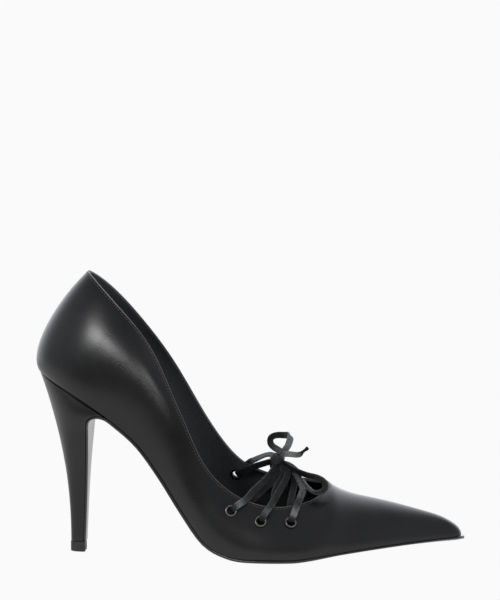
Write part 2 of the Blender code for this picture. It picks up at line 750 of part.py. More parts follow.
def heel_front(ring):
    """Point of the heel's front edge on one ring, from the seat, behind the bend and down the breast."""
    if ring == 0:
        x = feather_point(HEEL_FRONT_SECTION, "lat")[0]
        return np.array((x, 0.0, bottom_height(x) - GAP))
    if ring <= HEEL_BEND_RINGS:
        place = FLAP_BREAST - (HEEL_BEND_RINGS - ring) * FLAP_STEP
    else:
        share = (ring - HEEL_BEND_RINGS) / (HEEL_RINGS - HEEL_BEND_RINGS)
        place = FLAP_BREAST + (len(FLAP) - FLAP_BREAST) * share
    seen, into = flap_path(place)
    return seen + into * (flap_thickness(place) + GAP)


def heel_back(ring):
    """Point of the heel's back line on one ring."""
    seat = feather_point(HEEL_BACK, "lat") + np.array((HEEL_INSET, 0.0, -GAP))
    foot_z = LIFT_HEIGHT + GAP
    z = seat[2] + (foot_z - seat[2]) * (ring / HEEL_RINGS) ** HEEL_RING_POWER
    share = (z - foot_z) / (seat[2] - foot_z)
    x = LIFT_BACK + (seat[0] - LIFT_BACK) * share**HEEL_BACK_POWER
    return np.array((x, 0.0, z))


def round_end(turn):
    """A rounded D: place along (0 front, 1 back) and share of the half width, for a quarter turn."""
    power = 2 / ROUNDNESS
    return math.sin(turn) ** power, abs(math.cos(turn)) ** power


def heel_ring(ring):
    """Points of one heel ring, from the lateral front corner round the back to the medial one."""
    front = heel_front(ring)
    back = heel_back(ring)
    settle = min(ring / (HEEL_SETTLE * HEEL_RINGS), 1.0)
    settle = settle * settle * (3 - 2 * settle)
    half_seat = {side: abs(feather_point(HEEL_FRONT_SECTION, side)[1]) for side in ("lat", "med")}
    seat_x = [heel_front(0)[0], heel_back(0)[0]]
    points = []
    for side, sign in (("lat", -1.0), ("med", 1.0)):
        row = []
        spread = min(ring / HEEL_BEND_RINGS, 1.0)
        half = half_seat[side] * (1 - spread) + heel_half_width(front[2]) * spread
        for i in range(SIDE_POINTS + 1):
            section = HEEL_FRONT_SECTION + (HEEL_BACK - HEEL_FRONT_SECTION) * i / SIDE_POINTS
            seat = feather_point(section, side) - HEEL_INSET * plan_outward(section, side)
            seat_along = (seat[0] - seat_x[0]) / (seat_x[1] - seat_x[0])
            seat_across = abs(seat[1]) / half_seat[side]
            end_along, end_across = round_end(math.pi / 2 * i / SIDE_POINTS)
            along = seat_along + (end_along - seat_along) * settle
            across = seat_across + (end_across - seat_across) * settle
            place = front + (back - front) * along
            row.append(place + np.array((0.0, sign * half * across, 0.0)))
        points.append(row)
    lateral, medial = points
    if ring == 0:
        for point in lateral + medial:
            point[2] = bottom_height(point[0]) - GAP
    return lateral + medial[-2::-1]


def build_heel(parts):
    """High tapered heel, hollowed on top to the seat of the upper."""
    rings = [heel_ring(ring) for ring in range(HEEL_RINGS + 1)]
    skin = bmesh.new()
    rows = [[skin.verts.new(point) for point in ring] for ring in rings]
    count = len(rows[0])
    for row, after in zip(rows, rows[1:]):
        for i in range(count):
            j = (i + 1) % count
            skin.faces.new((row[i], row[j], after[j], after[i]))
    for row in (rows[0], rows[-1]):
        for i in range(SIDE_POINTS):
            corners = [row[i], row[i + 1], row[count - 2 - i], row[count - 1 - i]]
            skin.faces.new(list(dict.fromkeys(corners)))
    bmesh.ops.recalc_face_normals(skin, faces=skin.faces)
    return add_part("heel", skin, parts)


def build_top_lift(parts):
    """The replaceable lift under the heel, a little proud of it all round."""
    front = LIFT_FRONT + LIFT_FLANGE
    back = LIFT_BACK - LIFT_FLANGE
    half = LIFT_HALF_WIDTH + LIFT_FLANGE
    outline = []
    for i in range(-SIDE_POINTS, SIDE_POINTS + 1):
        along, across = round_end(math.pi / 2 * (1 - abs(i) / SIDE_POINTS))
        side = -1.0 if i < 0 else 1.0
        outline.append((front + (back - front) * along, side * half * across))
    rings = [[(x, y, z) for x, y in outline] for z in (0.0, LIFT_HEIGHT)]
    return add_part("top_lift", loft(rings), parts)


def main():
    clear_scene()
    parts = new_collection("laced_pump")
    cutters = new_collection("cutters")
    build_upper(parts, cutters)
    build_outsole(parts)
    build_insole(parts)
    build_heel(parts)
    build_top_lift(parts)
    for eyelet in EYELETS:
        build_eyelet(eyelet, parts)
    build_lace(parts, cutters)


main()
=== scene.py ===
# %% [markdown]
# # A laced pump in black leather
# This lesson dresses one shoe: a pointed pump on a slender heel, closed by a flat leather lace. The plain
# solids of every piece come from a imported model, in metres, with the toe along +X, the inner side of the
# foot along +Y and the floor at Z = 0. Each piece that shows gets a finer shape in the same place, and a
# finish made from nodes. We load the solids first, because the dressed shoe has to keep their size.

# %% Load the plain solids
import json
import math
from collections import namedtuple

import bmesh
import bpy
import numpy as np
from mathutils import Matrix, Vector
from mathutils.bvhtree import BVHTree

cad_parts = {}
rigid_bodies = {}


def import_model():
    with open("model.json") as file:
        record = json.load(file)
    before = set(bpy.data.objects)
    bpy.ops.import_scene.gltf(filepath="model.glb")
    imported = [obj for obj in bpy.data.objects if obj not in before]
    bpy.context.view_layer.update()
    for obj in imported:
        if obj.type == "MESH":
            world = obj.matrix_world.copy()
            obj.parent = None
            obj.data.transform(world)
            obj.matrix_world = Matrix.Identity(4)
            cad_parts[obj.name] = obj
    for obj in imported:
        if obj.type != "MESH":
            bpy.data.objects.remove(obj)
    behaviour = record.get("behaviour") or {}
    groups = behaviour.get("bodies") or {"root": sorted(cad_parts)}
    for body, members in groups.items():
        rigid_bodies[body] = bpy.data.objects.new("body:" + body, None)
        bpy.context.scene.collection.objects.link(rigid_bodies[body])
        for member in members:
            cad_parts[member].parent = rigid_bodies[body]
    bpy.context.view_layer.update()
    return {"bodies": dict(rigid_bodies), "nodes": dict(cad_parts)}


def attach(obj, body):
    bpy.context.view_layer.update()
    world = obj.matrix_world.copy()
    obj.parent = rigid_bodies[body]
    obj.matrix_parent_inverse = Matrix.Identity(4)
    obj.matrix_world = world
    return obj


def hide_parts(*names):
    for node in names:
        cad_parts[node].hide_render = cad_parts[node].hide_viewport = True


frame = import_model()
BODY = next(iter(frame["bodies"]))
MM = 0.001
print("solids:", len(frame["nodes"]), "body:", BODY)

# %% [markdown]
# ## Camera
# The shoe is seen from its outer side by a long lens, far away, a little above the floor and turned a
# little towards the toe. A long lens keeps the heel and the toe at the same scale. The picture is taller
# than wide, so the lens is set against the height of the sensor.

# %% Camera
CAMERA_DISTANCE = 1.450
CAMERA_TURN = 3.2
CAMERA_RISE = 5.3
CAMERA_TARGET = Vector((0.0, 0.0, 0.13935))
CAMERA_LENS = 159.34
SENSOR_HEIGHT = 36.0


def bearing(turn, rise):
    """Unit vector turned from the outer side towards the toe and raised from the floor, by degrees."""
    turn, rise = math.radians(turn), math.radians(rise)
    return Vector((math.sin(turn) * math.cos(rise), -math.cos(turn) * math.cos(rise), math.sin(rise)))


towards_camera = bearing(CAMERA_TURN, CAMERA_RISE)
camera_data = bpy.data.cameras.new("camera")
camera_data.sensor_fit = "VERTICAL"
camera_data.sensor_height = SENSOR_HEIGHT
camera_data.lens = CAMERA_LENS
camera = bpy.data.objects.new("camera", camera_data)
bpy.context.scene.collection.objects.link(camera)
camera.location = CAMERA_TARGET + towards_camera * CAMERA_DISTANCE
camera.rotation_euler = towards_camera.to_track_quat("Z", "Y").to_euler()
bpy.context.scene.camera = camera
print("camera at", [round(v, 3) for v in camera.location])

# %% [markdown]
# ## Shader expressions
# A finish is easier to read as arithmetic than as a wall of nodes. `Value` wraps one socket, and Python's
# own operators on it add Math nodes. `Nodes` makes any other node with one method, and `Finish` is the
# node tree of one material.

# %% Shader expressions
class Value:
    """A number that varies over a surface; arithmetic on it adds Math nodes."""

    def __init__(self, nodes, socket):
        self.nodes = nodes
        self.socket = socket

    def math(self, operation, other):
        return self.nodes.value("ShaderNodeMath", 0, {"operation": operation}, {0: self, 1: other})

    def __add__(self, other):
        return self.math("ADD", other)

    def __mul__(self, other):
        return self.math("MULTIPLY", other)

    def __rsub__(self, other):
        return (self * -1.0) + other

    def between(self, low, high, first=0.0, last=1.0):
        """first below low, last above high, and a smooth step between them."""
        sockets = {"Value": self, "From Min": low, "From Max": high, "To Min": first, "To Max": last}
        return self.nodes.value("ShaderNodeMapRange", "Result", {"interpolation_type": "SMOOTHSTEP"}, sockets)


print("arithmetic on a Value adds Math and Map Range nodes")

# %% Node trees and finishes
class Nodes:
    """The node tree of a material or of the world."""

    def __init__(self, tree):
        self.tree = tree

    def node(self, kind, settings=None, sockets=None):
        made = self.tree.nodes.new(kind)
        for key, setting in (settings or {}).items():
            setattr(made, key, setting)
        for key, value in (sockets or {}).items():
            self.plug(made.inputs[key], value)
        return made

    def plug(self, socket, value):
        """Links a socket to a varying value, or sets it to a fixed one."""
        source = value.socket if isinstance(value, Value) else value
        if isinstance(source, bpy.types.NodeSocket):
            self.tree.links.new(source, socket)
        else:
            socket.default_value = source

    def value(self, kind, output, settings=None, sockets=None):
        return Value(self, self.node(kind, settings, sockets).outputs[output])

    def axis(self, letter, vector):
        return self.value("ShaderNodeSeparateXYZ", letter, None, {"Vector": vector})

    def blend(self, share, first, second):
        """A colour between two, by a share from 0 to 1."""
        sockets = {"Factor": share, 6: first, 7: second}
        return self.node("ShaderNodeMix", {"data_type": "RGBA"}, sockets).outputs[2]


class Finish(Nodes):
    """One material and the nodes in it."""

    def __init__(self, name):
        self.material = bpy.data.materials.new(name)
        self.material.use_nodes = True
        super().__init__(self.material.node_tree)
        self.shader = self.tree.nodes["Principled BSDF"]

    def place(self):
        """Where the surface is on the shoe, in metres."""
        return self.node("ShaderNodeTexCoord").outputs["Object"]

    def noise(self, scale, detail=2.0, rough=0.5):
        sockets = {"Vector": self.place(), "Scale": scale, "Detail": detail, "Roughness": rough}
        return self.value("ShaderNodeTexNoise", "Fac", None, sockets)

    def cells(self, scale, feature="F1"):
        sockets = {"Vector": self.place(), "Scale": scale}
        return self.value("ShaderNodeTexVoronoi", "Distance", {"feature": feature}, sockets)

    def attribute(self, name):
        return self.value("ShaderNodeAttribute", "Fac", {"attribute_name": name})

    def relief(self, height, distance):
        """Bumps of that many metres on the shader's normal."""
        made = self.node("ShaderNodeBump", None, {"Height": height, "Distance": distance, "Strength": 1.0})
        self.plug(self.shader.inputs["Normal"], made.outputs["Normal"])

    def set(self, **sockets):
        for key, value in sockets.items():
            self.plug(self.shader.inputs[key.replace("_", " ").title().replace("Ior", "IOR")], value)


def grey(shade, warmth=0.0):
    """A nearly neutral colour, a little warm or cool."""
    return (shade * (1 + warmth), shade, shade * (1 - warmth), 1.0)


print("a cool grey:", [round(v, 3) for v in grey(0.02, -0.03)])

# %% [markdown]
# ## Leather, metal and rubber
# The upper is smooth calf leather: almost black, with a soft sheen, a fine pore grain and clouds where the
# polish is thicker. Relief comes from cells for the pores and from a fine noise, which break the highlight
# up just enough to say leather. The heel is covered in the same leather, pulled tighter. The sole is waxed
# leather, so it mirrors more at a grazing angle. The lace is a flat leather cord, drier than the upper, whose
# edges, bends and crossings are paler, partly from wear and partly as a painted highlight. The eyelets are
# gunmetal, worn bright on their rims.

# %% Upper leather
def calf(name, shade, roughness, grain):
    """Smooth black leather with pores, polish clouds and a soft sheen."""
    finish = Finish(name)
    clouds = finish.noise(34.0, 3.0).between(0.3, 0.7)
    pores = finish.cells(1500.0).between(0.0, 0.6)
    skin = finish.noise(950.0, 3.0, 0.55)
    worn = finish.attribute("worn")
    finish.set(
        base_color=finish.blend(clouds * 0.6 + worn, grey(shade, -0.02), grey(shade * 2.1, 0.01)),
        roughness=clouds * 0.07 + skin * 0.05 + worn * 0.5 + (roughness - 0.06),
        specular_ior_level=0.4,
    )
    finish.relief(pores * 0.45 + skin, grain)
    return finish.material


upper_leather = calf("upper_leather", 0.0045, 0.30, 0.00003)
heel_leather = calf("heel_leather", 0.0055, 0.34, 0.000025)
print("leathers:", upper_leather.name, heel_leather.name)

# %% Lining, sole and lift
def lining():
    """Black goat lining: matt, with a coarser grain than the outside; paler at the back and darker in the
    toe, as painted light and shade.
    """
    finish = Finish("lining_leather")
    clouds = finish.noise(60.0, 3.0).between(0.3, 0.7)
    grain = finish.cells(1100.0, "SMOOTH_F1")
    # Darker towards the toe and paler towards the back: painted shade deep in the toe, painted light at the
    # open back.
    painted_toe_shade = finish.axis("X", finish.place()).between(-0.01, 0.02)
    finish.set(
        base_color=finish.blend(painted_toe_shade * 0.85 + clouds * 0.15, grey(0.1, -0.03), grey(0.02, -0.03)),
        roughness=clouds * 0.1 + 0.5,
        specular_ior_level=0.2,
    )
    finish.relief(grain, 0.00012)
    return finish.material


def sole_leather():
    """Waxed black sole leather with the faint lengthwise streaks of its burnishing."""
    finish = Finish("sole_leather")
    streak_scale = {"Vector": finish.place(), "Scale": (40.0, 900.0, 900.0)}
    stretched = finish.node("ShaderNodeMapping", None, streak_scale).outputs[0]
    streaks = finish.value("ShaderNodeTexNoise", "Fac", None, {"Vector": stretched, "Scale": 1.0})
    clouds = finish.noise(45.0, 3.0).between(0.3, 0.7)
    finish.set(
        base_color=finish.blend(clouds * 0.5 + streaks * 0.3, grey(0.006), grey(0.014, 0.02)),
        roughness=clouds * 0.06 + streaks * 0.05 + 0.22,
        coat_weight=0.3,
        coat_roughness=0.18,
    )
    finish.relief(streaks, 0.00004)
    return finish.material


def lift_rubber():
    """Hard rubber of the lift: matt, paler than the heel, with a moulded speckle."""
    finish = Finish("lift_rubber")
    speckle = finish.noise(2600.0, 2.0)
    scuffs = finish.noise(240.0, 4.0, 0.7).between(0.55, 0.75)
    finish.set(
        base_color=finish.blend(scuffs, grey(0.010), grey(0.022)), roughness=scuffs * 0.1 + 0.58
    )
    finish.relief(speckle, 0.00006)
    return finish.material


lining_leather = lining()
waxed_sole = sole_leather()
hard_rubber = lift_rubber()
print("lining, sole and lift:", lining_leather.name, waxed_sole.name, hard_rubber.name)

# %% Lace and metal
def lace_leather():
    """Flat lace of thin leather: creased across, paler on its edges and bends from wear and from a painted
    highlight.
    """
    finish = Finish("lace_leather")
    clouds = finish.noise(160.0, 3.0, 0.6).between(0.35, 0.7)
    crackle = finish.cells(950.0, "DISTANCE_TO_EDGE").between(0.0, 0.22)
    skin = finish.noise(1300.0, 4.0, 0.65).between(0.3, 0.7)
    # Paler where the stored amount is high: wear together with a painted highlight at bends and edges.
    rubbed_with_sheen = finish.attribute("worn") * (clouds * 0.45 + skin * 0.8 + 0.3)
    finish.set(
        base_color=finish.blend(rubbed_with_sheen, grey(0.004, -0.04), grey(0.185, -0.02)),
        roughness=0.48 - clouds * 0.08 + skin * 0.08,
        specular_ior_level=0.16,
    )
    finish.relief(crackle * 0.6 + skin, 0.00016)
    return finish.material


def gunmetal():
    """Dark plated metal, worn bright where the lace and the fingers chafe it."""
    finish = Finish("gunmetal")
    worn = finish.attribute("worn")
    tarnish = finish.noise(900.0, 3.0).between(0.35, 0.7)
    finish.set(
        base_color=finish.blend(worn, grey(0.04, 0.04), grey(0.17, 0.08)),
        metallic=1.0,
        roughness=tarnish * 0.14 + 0.22,
    )
    finish.relief(finish.noise(1800.0, 2.0), 0.00002)
    return finish.material


soft_lace = lace_leather()
eyelet_metal = gunmetal()
print("finishes:", len(bpy.data.materials))

# %% [markdown]
# ## From a grid to a piece
# Most pieces here are bent sheets: a wall wrapped round the foot, a plate under it, a lace rolled into a
# sleeve. Each starts as a flat grid, whose points are then moved to where a function puts them. The grid
# keeps its faces, so nothing is joined by hand, and edges that meet are welded.

# %% From a grid to a piece
WELD = 0.004


def bent_grid(columns, rows, places):
    """A grid of columns by rows faces, moved to an array of places in millimetres."""
    shape = bmesh.new()
    bmesh.ops.create_grid(shape, x_segments=columns, y_segments=rows, size=0.5)
    for point in shape.verts:
        i = round((point.co.x + 0.5) * columns)
        j = round((point.co.y + 0.5) * rows)
        point.co = places[i, j]
    return shape


def weld(shape):
    bmesh.ops.remove_doubles(shape, verts=shape.verts, dist=WELD)
    bmesh.ops.dissolve_degenerate(shape, edges=shape.edges, dist=WELD / 10)


def close(shape):
    """Fills the open ends of a sleeve and points its faces outwards."""
    rims = [edge for edge in shape.edges if edge.is_boundary]
    bmesh.ops.holes_fill(shape, edges=rims, sides=0)
    bmesh.ops.recalc_face_normals(shape, faces=shape.faces)


def lofted(rings):
    """A closed sleeve through rings of equal counts."""
    places = np.array([list(ring) + [ring[0]] for ring in rings])
    sleeve = bent_grid(len(places) - 1, places.shape[1] - 1, places)
    weld(sleeve)
    close(sleeve)
    return sleeve


def line_tree(points):
    """A search tree that finds the nearest place on a line of points."""
    return BVHTree.FromPolygons(points, [(i, i + 1, i) for i in range(len(points) - 1)])


def piece(name, shape, *materials):
    """Makes a bmesh in millimetres into a piece of the shoe, at the origin, in metres."""
    bmesh.ops.scale(shape, vec=(MM, MM, MM), verts=shape.verts)
    mesh = bpy.data.meshes.new(name)
    shape.to_mesh(mesh)
    shape.free()
    mesh.shade_smooth()
    for material in materials:
        mesh.materials.append(material)
    made = bpy.data.objects.new(name, mesh)
    bpy.context.scene.collection.objects.link(made)
    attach(made, BODY)
    return made


def wear(shape, amount):
    """Stores an amount per point, as amount(point) says, for the finishes to read: wear on the upper and the
    eyelets, and on the lace wear together with a painted highlight.
    """
    layer = shape.verts.layers.float.new("worn")
    for point in shape.verts:
        point[layer] = amount(point)


def bevel(made, name, width, segments, angle):
    """A Bevel modifier that rounds the edges sharper than an angle, in degrees."""
    edge = made.modifiers.new(name, "BEVEL")
    edge.width = width * MM
    edge.segments = segments
    edge.limit_method = "ANGLE"
    edge.angle_limit = math.radians(angle)
    return edge


print("a grid of 4 by 2 has", 5 * 3, "points")

# %% [markdown]
# ## The last
# A shoe takes its form from a last, a model of the foot. Its sections run from the toe tip to the back of
# the heel. Each has a foot on the featherline, where upper and sole meet, and a top on the ridge of the
# vamp or, behind the throat, on the topline of the opening. A wall curve joins them. These tables and
# functions are the ones that made the solids, so the fine pieces lie exactly on the plain ones.

# %% Sections of the last
LENGTH = 236.0
BALL_WIDTH = 78.0
HEEL_HEIGHT = 100.0
INSTEP_HEIGHT = 38.9
TOP_HOLD = 0.35
THROAT_BLEND = 1.5

Feather = namedtuple("Feather", "name along height lateral medial")
FEATHER = [
    Feather("toe tip", 99.15, 9.9, 6.4, 6.4),
    Feather("toe corner", 98.05, 9.6, 0.8, 11.8),
    Feather("toe", 94.4, 9.2, -4.6, 16.5),
    Feather("toe box front", 88.9, 8.5, -11.9, 23.8),
    Feather("toe box", 82.5, 7.5, -21.0, 31.8),
    Feather("toe box rear", 76.6, 6.3, -28.8, 38.1),
    Feather("vamp", 71.9, 5.2, -34.7, 42.3),
    Feather("throat", 68.1, 4.2, -39.7, 45.6),
    Feather("tread front", 64.3, 3.2, -44.2, 47.7),
    Feather("medial ball", 60.1, 2.5, -47.4, 48.5),
    Feather("lateral ball", 55.4, 2.5, -48.7, 47.2),
    Feather("tread rear", 50.3, 2.5, -47.4, 42.9),
    Feather("behind ball", 45.3, 4.2, -44.2, 37.2),
    Feather("waist front", 40.2, 10.6, -39.4, 30.8),
    Feather("waist low", 35.1, 26.7, -34.0, 25.6),
    Feather("waist", 30.0, 45.3, -30.3, 22.9),
    Feather("waist high", 24.9, 61.7, -29.1, 23.1),
    Feather("waist rear", 19.4, 73.6, -29.7, 25.6),
    Feather("breast", 13.9, 83.2, -30.8, 28.6),
    Feather("heel seat", 8.8, 90.8, -28.2, 27.4),
    Feather("heel turn", 4.6, 96.0, -19.5, 19.5),
    Feather("heel corner", 1.95, 99.2, -9.9, 9.9),
    Feather("heel back", 0.85, 100.5, 0.0, 0.0),
]
THROAT = 7
HEEL_BACK = len(FEATHER) - 1

Ridge = namedtuple("Ridge", "name along across height")
RIDGE = [
    Ridge("toe tip", 95.3, 6.3, 49.5),
    Ridge("toe corner", 94.4, 6.2, 52.0),
    Ridge("toe", 92.1, 5.9, 56.8),
    Ridge("toe box front", 87.6, 5.4, 64.5),
    Ridge("toe box", 81.9, 4.7, 73.5),
    Ridge("toe box rear", 76.4, 4.0, 80.6),
    Ridge("vamp", 71.7, 3.2, 88.6),
    Ridge("throat", 68.3, 2.6, 100.0),
]

Top = namedtuple("Top", "name lat_along lat_y lat_z med_along med_y med_z")
TOPLINE = [
    Top("tread front", 66.2, -12.8, 33.6, 65.8, 12.8, 38.8),
    Top("medial ball", 62.4, -23.5, 30.5, 62.2, 19.9, 39.2),
    Top("lateral ball", 57.3, -31.8, 29.5, 57.7, 23.8, 39.6),
    Top("tread rear", 52.0, -34.6, 31.5, 52.9, 26.3, 42.0),
    Top("behind ball", 46.9, -35.3, 37.0, 48.2, 27.7, 47.0),
    Top("waist front", 42.5, -35.1, 45.8, 44.2, 28.7, 55.8),
    Top("waist low", 39.1, -34.7, 57.5, 40.5, 29.5, 67.7),
    Top("waist", 36.1, -34.4, 73.5, 37.4, 30.3, 79.5),
    Top("waist high", 33.2, -33.7, 89.0, 34.2, 30.8, 92.5),
    Top("waist rear", 30.0, -32.6, 106.5, 30.6, 30.8, 106.2),
    Top("breast", 25.8, -30.5, 123.0, 26.0, 30.1, 121.0),
    Top("heel seat", 20.3, -25.6, 137.6, 20.5, 25.6, 137.0),
    Top("heel turn", 16.0, -17.2, 147.8, 16.2, 17.3, 147.9),
    Top("heel corner", 13.4, -8.5, 153.4, 13.5, 8.6, 153.5),
    Top("heel back", 12.5, 0.0, 155.3, 12.5, 0.0, 155.3),
]

Wall = namedtuple("Wall", "section hold lat_flare lat_lean med_flare med_lean")
WALLS = [
    Wall(0, 0.35, 4.0, 80.0, 4.0, 80.0),
    Wall(4, 0.35, 8.0, 80.0, 6.0, 80.0),
    Wall(7, 0.35, 10.0, 80.0, 8.0, 80.0),
    Wall(8, 0.35, 11.0, 48.0, 9.0, 54.0),
    Wall(10, 0.35, 13.0, 42.0, 12.0, 50.0),
    Wall(12, 0.35, 14.0, 31.0, 16.0, 36.0),
    Wall(14, 0.35, 15.0, 24.0, 22.0, 24.0),
    Wall(16, 0.33, 19.0, 33.0, 24.0, 30.0),
    Wall(18, 0.30, 24.0, 43.0, 24.0, 43.0),
    Wall(20, 0.25, 28.0, 49.0, 28.0, 49.0),
    Wall(22, 0.22, 30.0, 48.0, 30.0, 48.0),
]
print("sections:", len(FEATHER), "from", FEATHER[0].name, "to", FEATHER[-1].name)

# %% Curves through the sections
def along_to_x(along):
    return (along / 100.0 - 0.5) * LENGTH


def across_to_y(across):
    return across / 100.0 * BALL_WIDTH


def height_to_z(height):
    return height / 100.0 * HEEL_HEIGHT


def last_point(along, across, height):
    return (along_to_x(along), across_to_y(across), height_to_z(height))


def ease(share):
    """A smooth step from 0 to 1, which stays 1."""
    share = min(share, 1.0)
    return share * share * (3 - 2 * share)


def unit(vector):
    vector = np.asarray(vector, float)
    return vector / np.linalg.norm(vector)


def rise_between(keys, values, at):
    """Monotone cubic through (key, value) rows, read at the given places: it never overshoots."""
    keys = np.asarray(keys, float)
    values = np.asarray(values, float)
    steps = np.diff(keys)
    slopes = np.diff(values) / steps
    tangents = np.concatenate([slopes[:1], (slopes[:-1] + slopes[1:]) / 2, slopes[-1:]])
    turning = np.concatenate([[False], slopes[:-1] * slopes[1:] <= 0, [False]])
    tangents[turning] = 0.0
    limit = 3 * np.minimum(np.abs(np.append(slopes, slopes[-1])), np.abs(np.append(slopes[0], slopes)))
    tangents = np.clip(tangents, -limit, limit)
    at = np.asarray(at, float)
    i = np.clip(np.searchsorted(keys, at, side="right") - 1, 0, len(steps) - 1)
    t = (at - keys[i]) / steps[i]
    return (
        values[i] * (1 + 2 * t) * (1 - t) ** 2
        + values[i + 1] * t * t * (3 - 2 * t)
        + steps[i] * (tangents[i] * t * (1 - t) ** 2 - tangents[i + 1] * t * t * (1 - t))
    )


def smooth_curve(points, at, knots=None, closed=False):
    """Twice-smooth cubic curve through points at knots (0, 1, 2 ... if none are given), read at places."""
    points = np.asarray(points, float)
    count = len(points)
    knots = np.arange(count, dtype=float) if knots is None else knots
    steps = np.ones(count) if closed else np.diff(knots)
    system = np.eye(count)
    right = np.zeros_like(points)
    for i in range(count):
        if closed or 0 < i < count - 1:
            before, after = (i - 1) % count, (i + 1) % count
            last, step = steps[i - 1], steps[i]
            system[i, [before, i, after]] = last, 2 * (last + step), step
            right[i] = 6 * ((points[after] - points[i]) / step - (points[i] - points[before]) / last)
    bends = np.linalg.solve(system, right)
    at = np.atleast_1d(np.asarray(at, float))
    if closed:
        at = at % count
    i = np.clip(np.searchsorted(knots, at, side="right") - 1, 0, len(steps) - 1)
    j = (i + 1) % count
    h = steps[i][:, None]
    t = (at - knots[i])[:, None] / h
    s = 1 - t
    return points[i] * s + points[j] * t + ((s**3 - s) * bends[i] + (t**3 - t) * bends[j]) * h * h / 6


print("half way through a smooth step:", ease(0.5))

# %% Points of the last
def feather_loop():
    """The featherline's section points, out along the lateral side and back along the medial side."""
    out = [last_point(row.along, row.lateral, row.height) for row in FEATHER]
    home = [last_point(row.along, row.medial, row.height) for row in reversed(FEATHER[1:-1])]
    return np.array(out + home)


def ridge_points():
    return np.array([
        (along_to_x(row.along), across_to_y(row.across), row.height / 100.0 * INSTEP_HEIGHT)
        for row in RIDGE
    ])


def topline_loop():
    """The topline's section points, from the throat out along the lateral side and back."""
    front = ridge_points()[-1]
    out = [last_point(row.lat_along, row.lat_y, row.lat_z) for row in TOPLINE]
    home = [last_point(row.med_along, row.med_y, row.med_z) for row in reversed(TOPLINE[:-1])]
    return np.array([front] + out + home)


FEATHER_LOOP = feather_loop()
TOPLINE_LOOP = topline_loop()
RIDGE_POINTS = ridge_points()
print("topline points:", len(TOPLINE_LOOP))

# %% Foot and top of a section
def loop_place(section, side, first=0):
    """A section number as a place on a closed loop that starts at section first."""
    return section - first if side == "lat" else first - section


def bottom_height(x):
    """Height of the featherline over the floor, along the shoe."""
    keys = [along_to_x(row.along) for row in reversed(FEATHER)]
    heights = [height_to_z(row.height) for row in reversed(FEATHER)]
    return float(rise_between(keys, heights, np.clip(x, keys[0], keys[-1])))


def feather_point(section, side):
    """Point of the featherline; its height follows the bottom profile exactly."""
    x, y, _ = smooth_curve(FEATHER_LOOP, loop_place(section, side), closed=True)[0]
    return np.array((x, y, bottom_height(x)))


def plan_outward(section, side):
    """Horizontal unit vector out of the shoe, square to the featherline in plan."""
    step = 0.02
    place = loop_place(section, side)
    ahead, behind = smooth_curve(FEATHER_LOOP, [place + step, place - step], closed=True)
    run = unit((ahead - behind)[:2])
    return np.array((-run[1], run[0], 0.0))


def top_point(section, side):
    """Ridge of the vamp before the throat, topline behind it."""
    if section <= THROAT:
        return smooth_curve(RIDGE_POINTS, section)[0]
    return smooth_curve(TOPLINE_LOOP, loop_place(section, side, THROAT), closed=True)[0]


print("throat:", np.round(top_point(THROAT, "lat"), 1).tolist())

# %% The wall of the upper
def along_last(table, section):
    """A measure that changes along the last, given at some sections and read between them."""
    return float(rise_between(list(table), list(table.values()), section))


def wall_column(column, section):
    """One column of WALLS, read between its rows."""
    return along_last({row.section: getattr(row, column) for row in WALLS}, section)


def ridge_outward(section, outward):
    """The outward direction laid into the vamp's surface at its ridge."""
    step = 0.05
    ends = np.clip([section + step, section - step], 0, THROAT)
    behind, ahead = smooth_curve(RIDGE_POINTS, ends)
    normal = unit(np.cross(ahead - behind, (0.0, 1.0, 0.0)))
    return unit(outward - normal * (outward @ normal))


def wall_curve(section, side, rises):
    """Points up the outside of the upper at one section; a rise is 0 at the featherline, 1 at the top."""
    foot = feather_point(section, side)
    top = top_point(section, side)
    outward = plan_outward(section, side)
    chord = top - foot
    reach = np.linalg.norm(chord)
    upward = unit(chord - outward * (chord @ outward))
    flare = math.radians(wall_column(side + "_flare", section))
    lean = math.radians(wall_column(side + "_lean", section))
    hold = reach * wall_column("hold", section)
    low = foot + hold * (math.cos(flare) * upward + math.sin(flare) * outward)
    leave = ridge_outward(min(section, THROAT), outward)
    if section > THROAT:
        share = ease((section - THROAT) / THROAT_BLEND)
        leave = leave * (1 - share) + (math.sin(lean) * outward - math.cos(lean) * upward) * share
    high = top + reach * TOP_HOLD * leave
    t = np.asarray(rises, float)[:, None]
    s = 1 - t
    return s**3 * foot + 3 * s * s * t * low + 3 * s * t * t * high + t**3 * top


def wall_frame(section, side, rise):
    """Point on the upper, its outward normal and the direction up the wall."""
    step = 0.02
    below, here, above = wall_curve(section, side, [rise - step, rise, rise + step])
    ahead = wall_curve(section - step, side, [rise])[0]
    behind = wall_curve(section + step, side, [rise])[0]
    upward = unit(above - below)
    normal = np.cross(ahead - behind, upward) if side == "lat" else np.cross(upward, ahead - behind)
    return here, unit(normal), upward


print("wall at the ball, outer side:", np.round(wall_curve(10, "lat", [0, 0.5, 1]), 1).tolist())

# %% [markdown]
# ## The bow's cords
# The lace is one flat cord, about 4 mm wide. At the knot it makes a small bow: one loop stands up, the
# other lies forward along the throat and its end comes back out of the knot, rolled thin at the tip. A
# cord like this keeps its width and thickness while it bends and twists, so it is made as a sleeve: a grid
# rolled into a flat, round-edged section and swept along its route. Each row of a route gives a point and
# the direction in which the lace's width lies there.

# %% The route of a lace
LACE_WIDTH = 3.8
LACE_THICK = 1.1
LACE_ROUND = 3.2
LACE_SIDES = 16
LACE_STEP = 0.55
LACE_LEAST_STEPS = 8
FINE_STEPS = 40
LACE_RUB = 0.09
EDGE_RUB_AND_HIGHLIGHT = 0.18
EDGE_RUB_AND_HIGHLIGHT_STARTS = 0.72
EDGE_RUB_AND_HIGHLIGHT_RUN = 0.22
# The last field makes the lace paler: wear, together with a painted highlight where the lace bends.
Lace = namedtuple("Lace", "x y z across_x across_y across_z width thick rub", defaults=(1.0, 1.0, LACE_RUB))


def even_lace(across, *points):
    """Rows of a route whose width lies the same way all along."""
    return [Lace(*point, *across) for point in points]


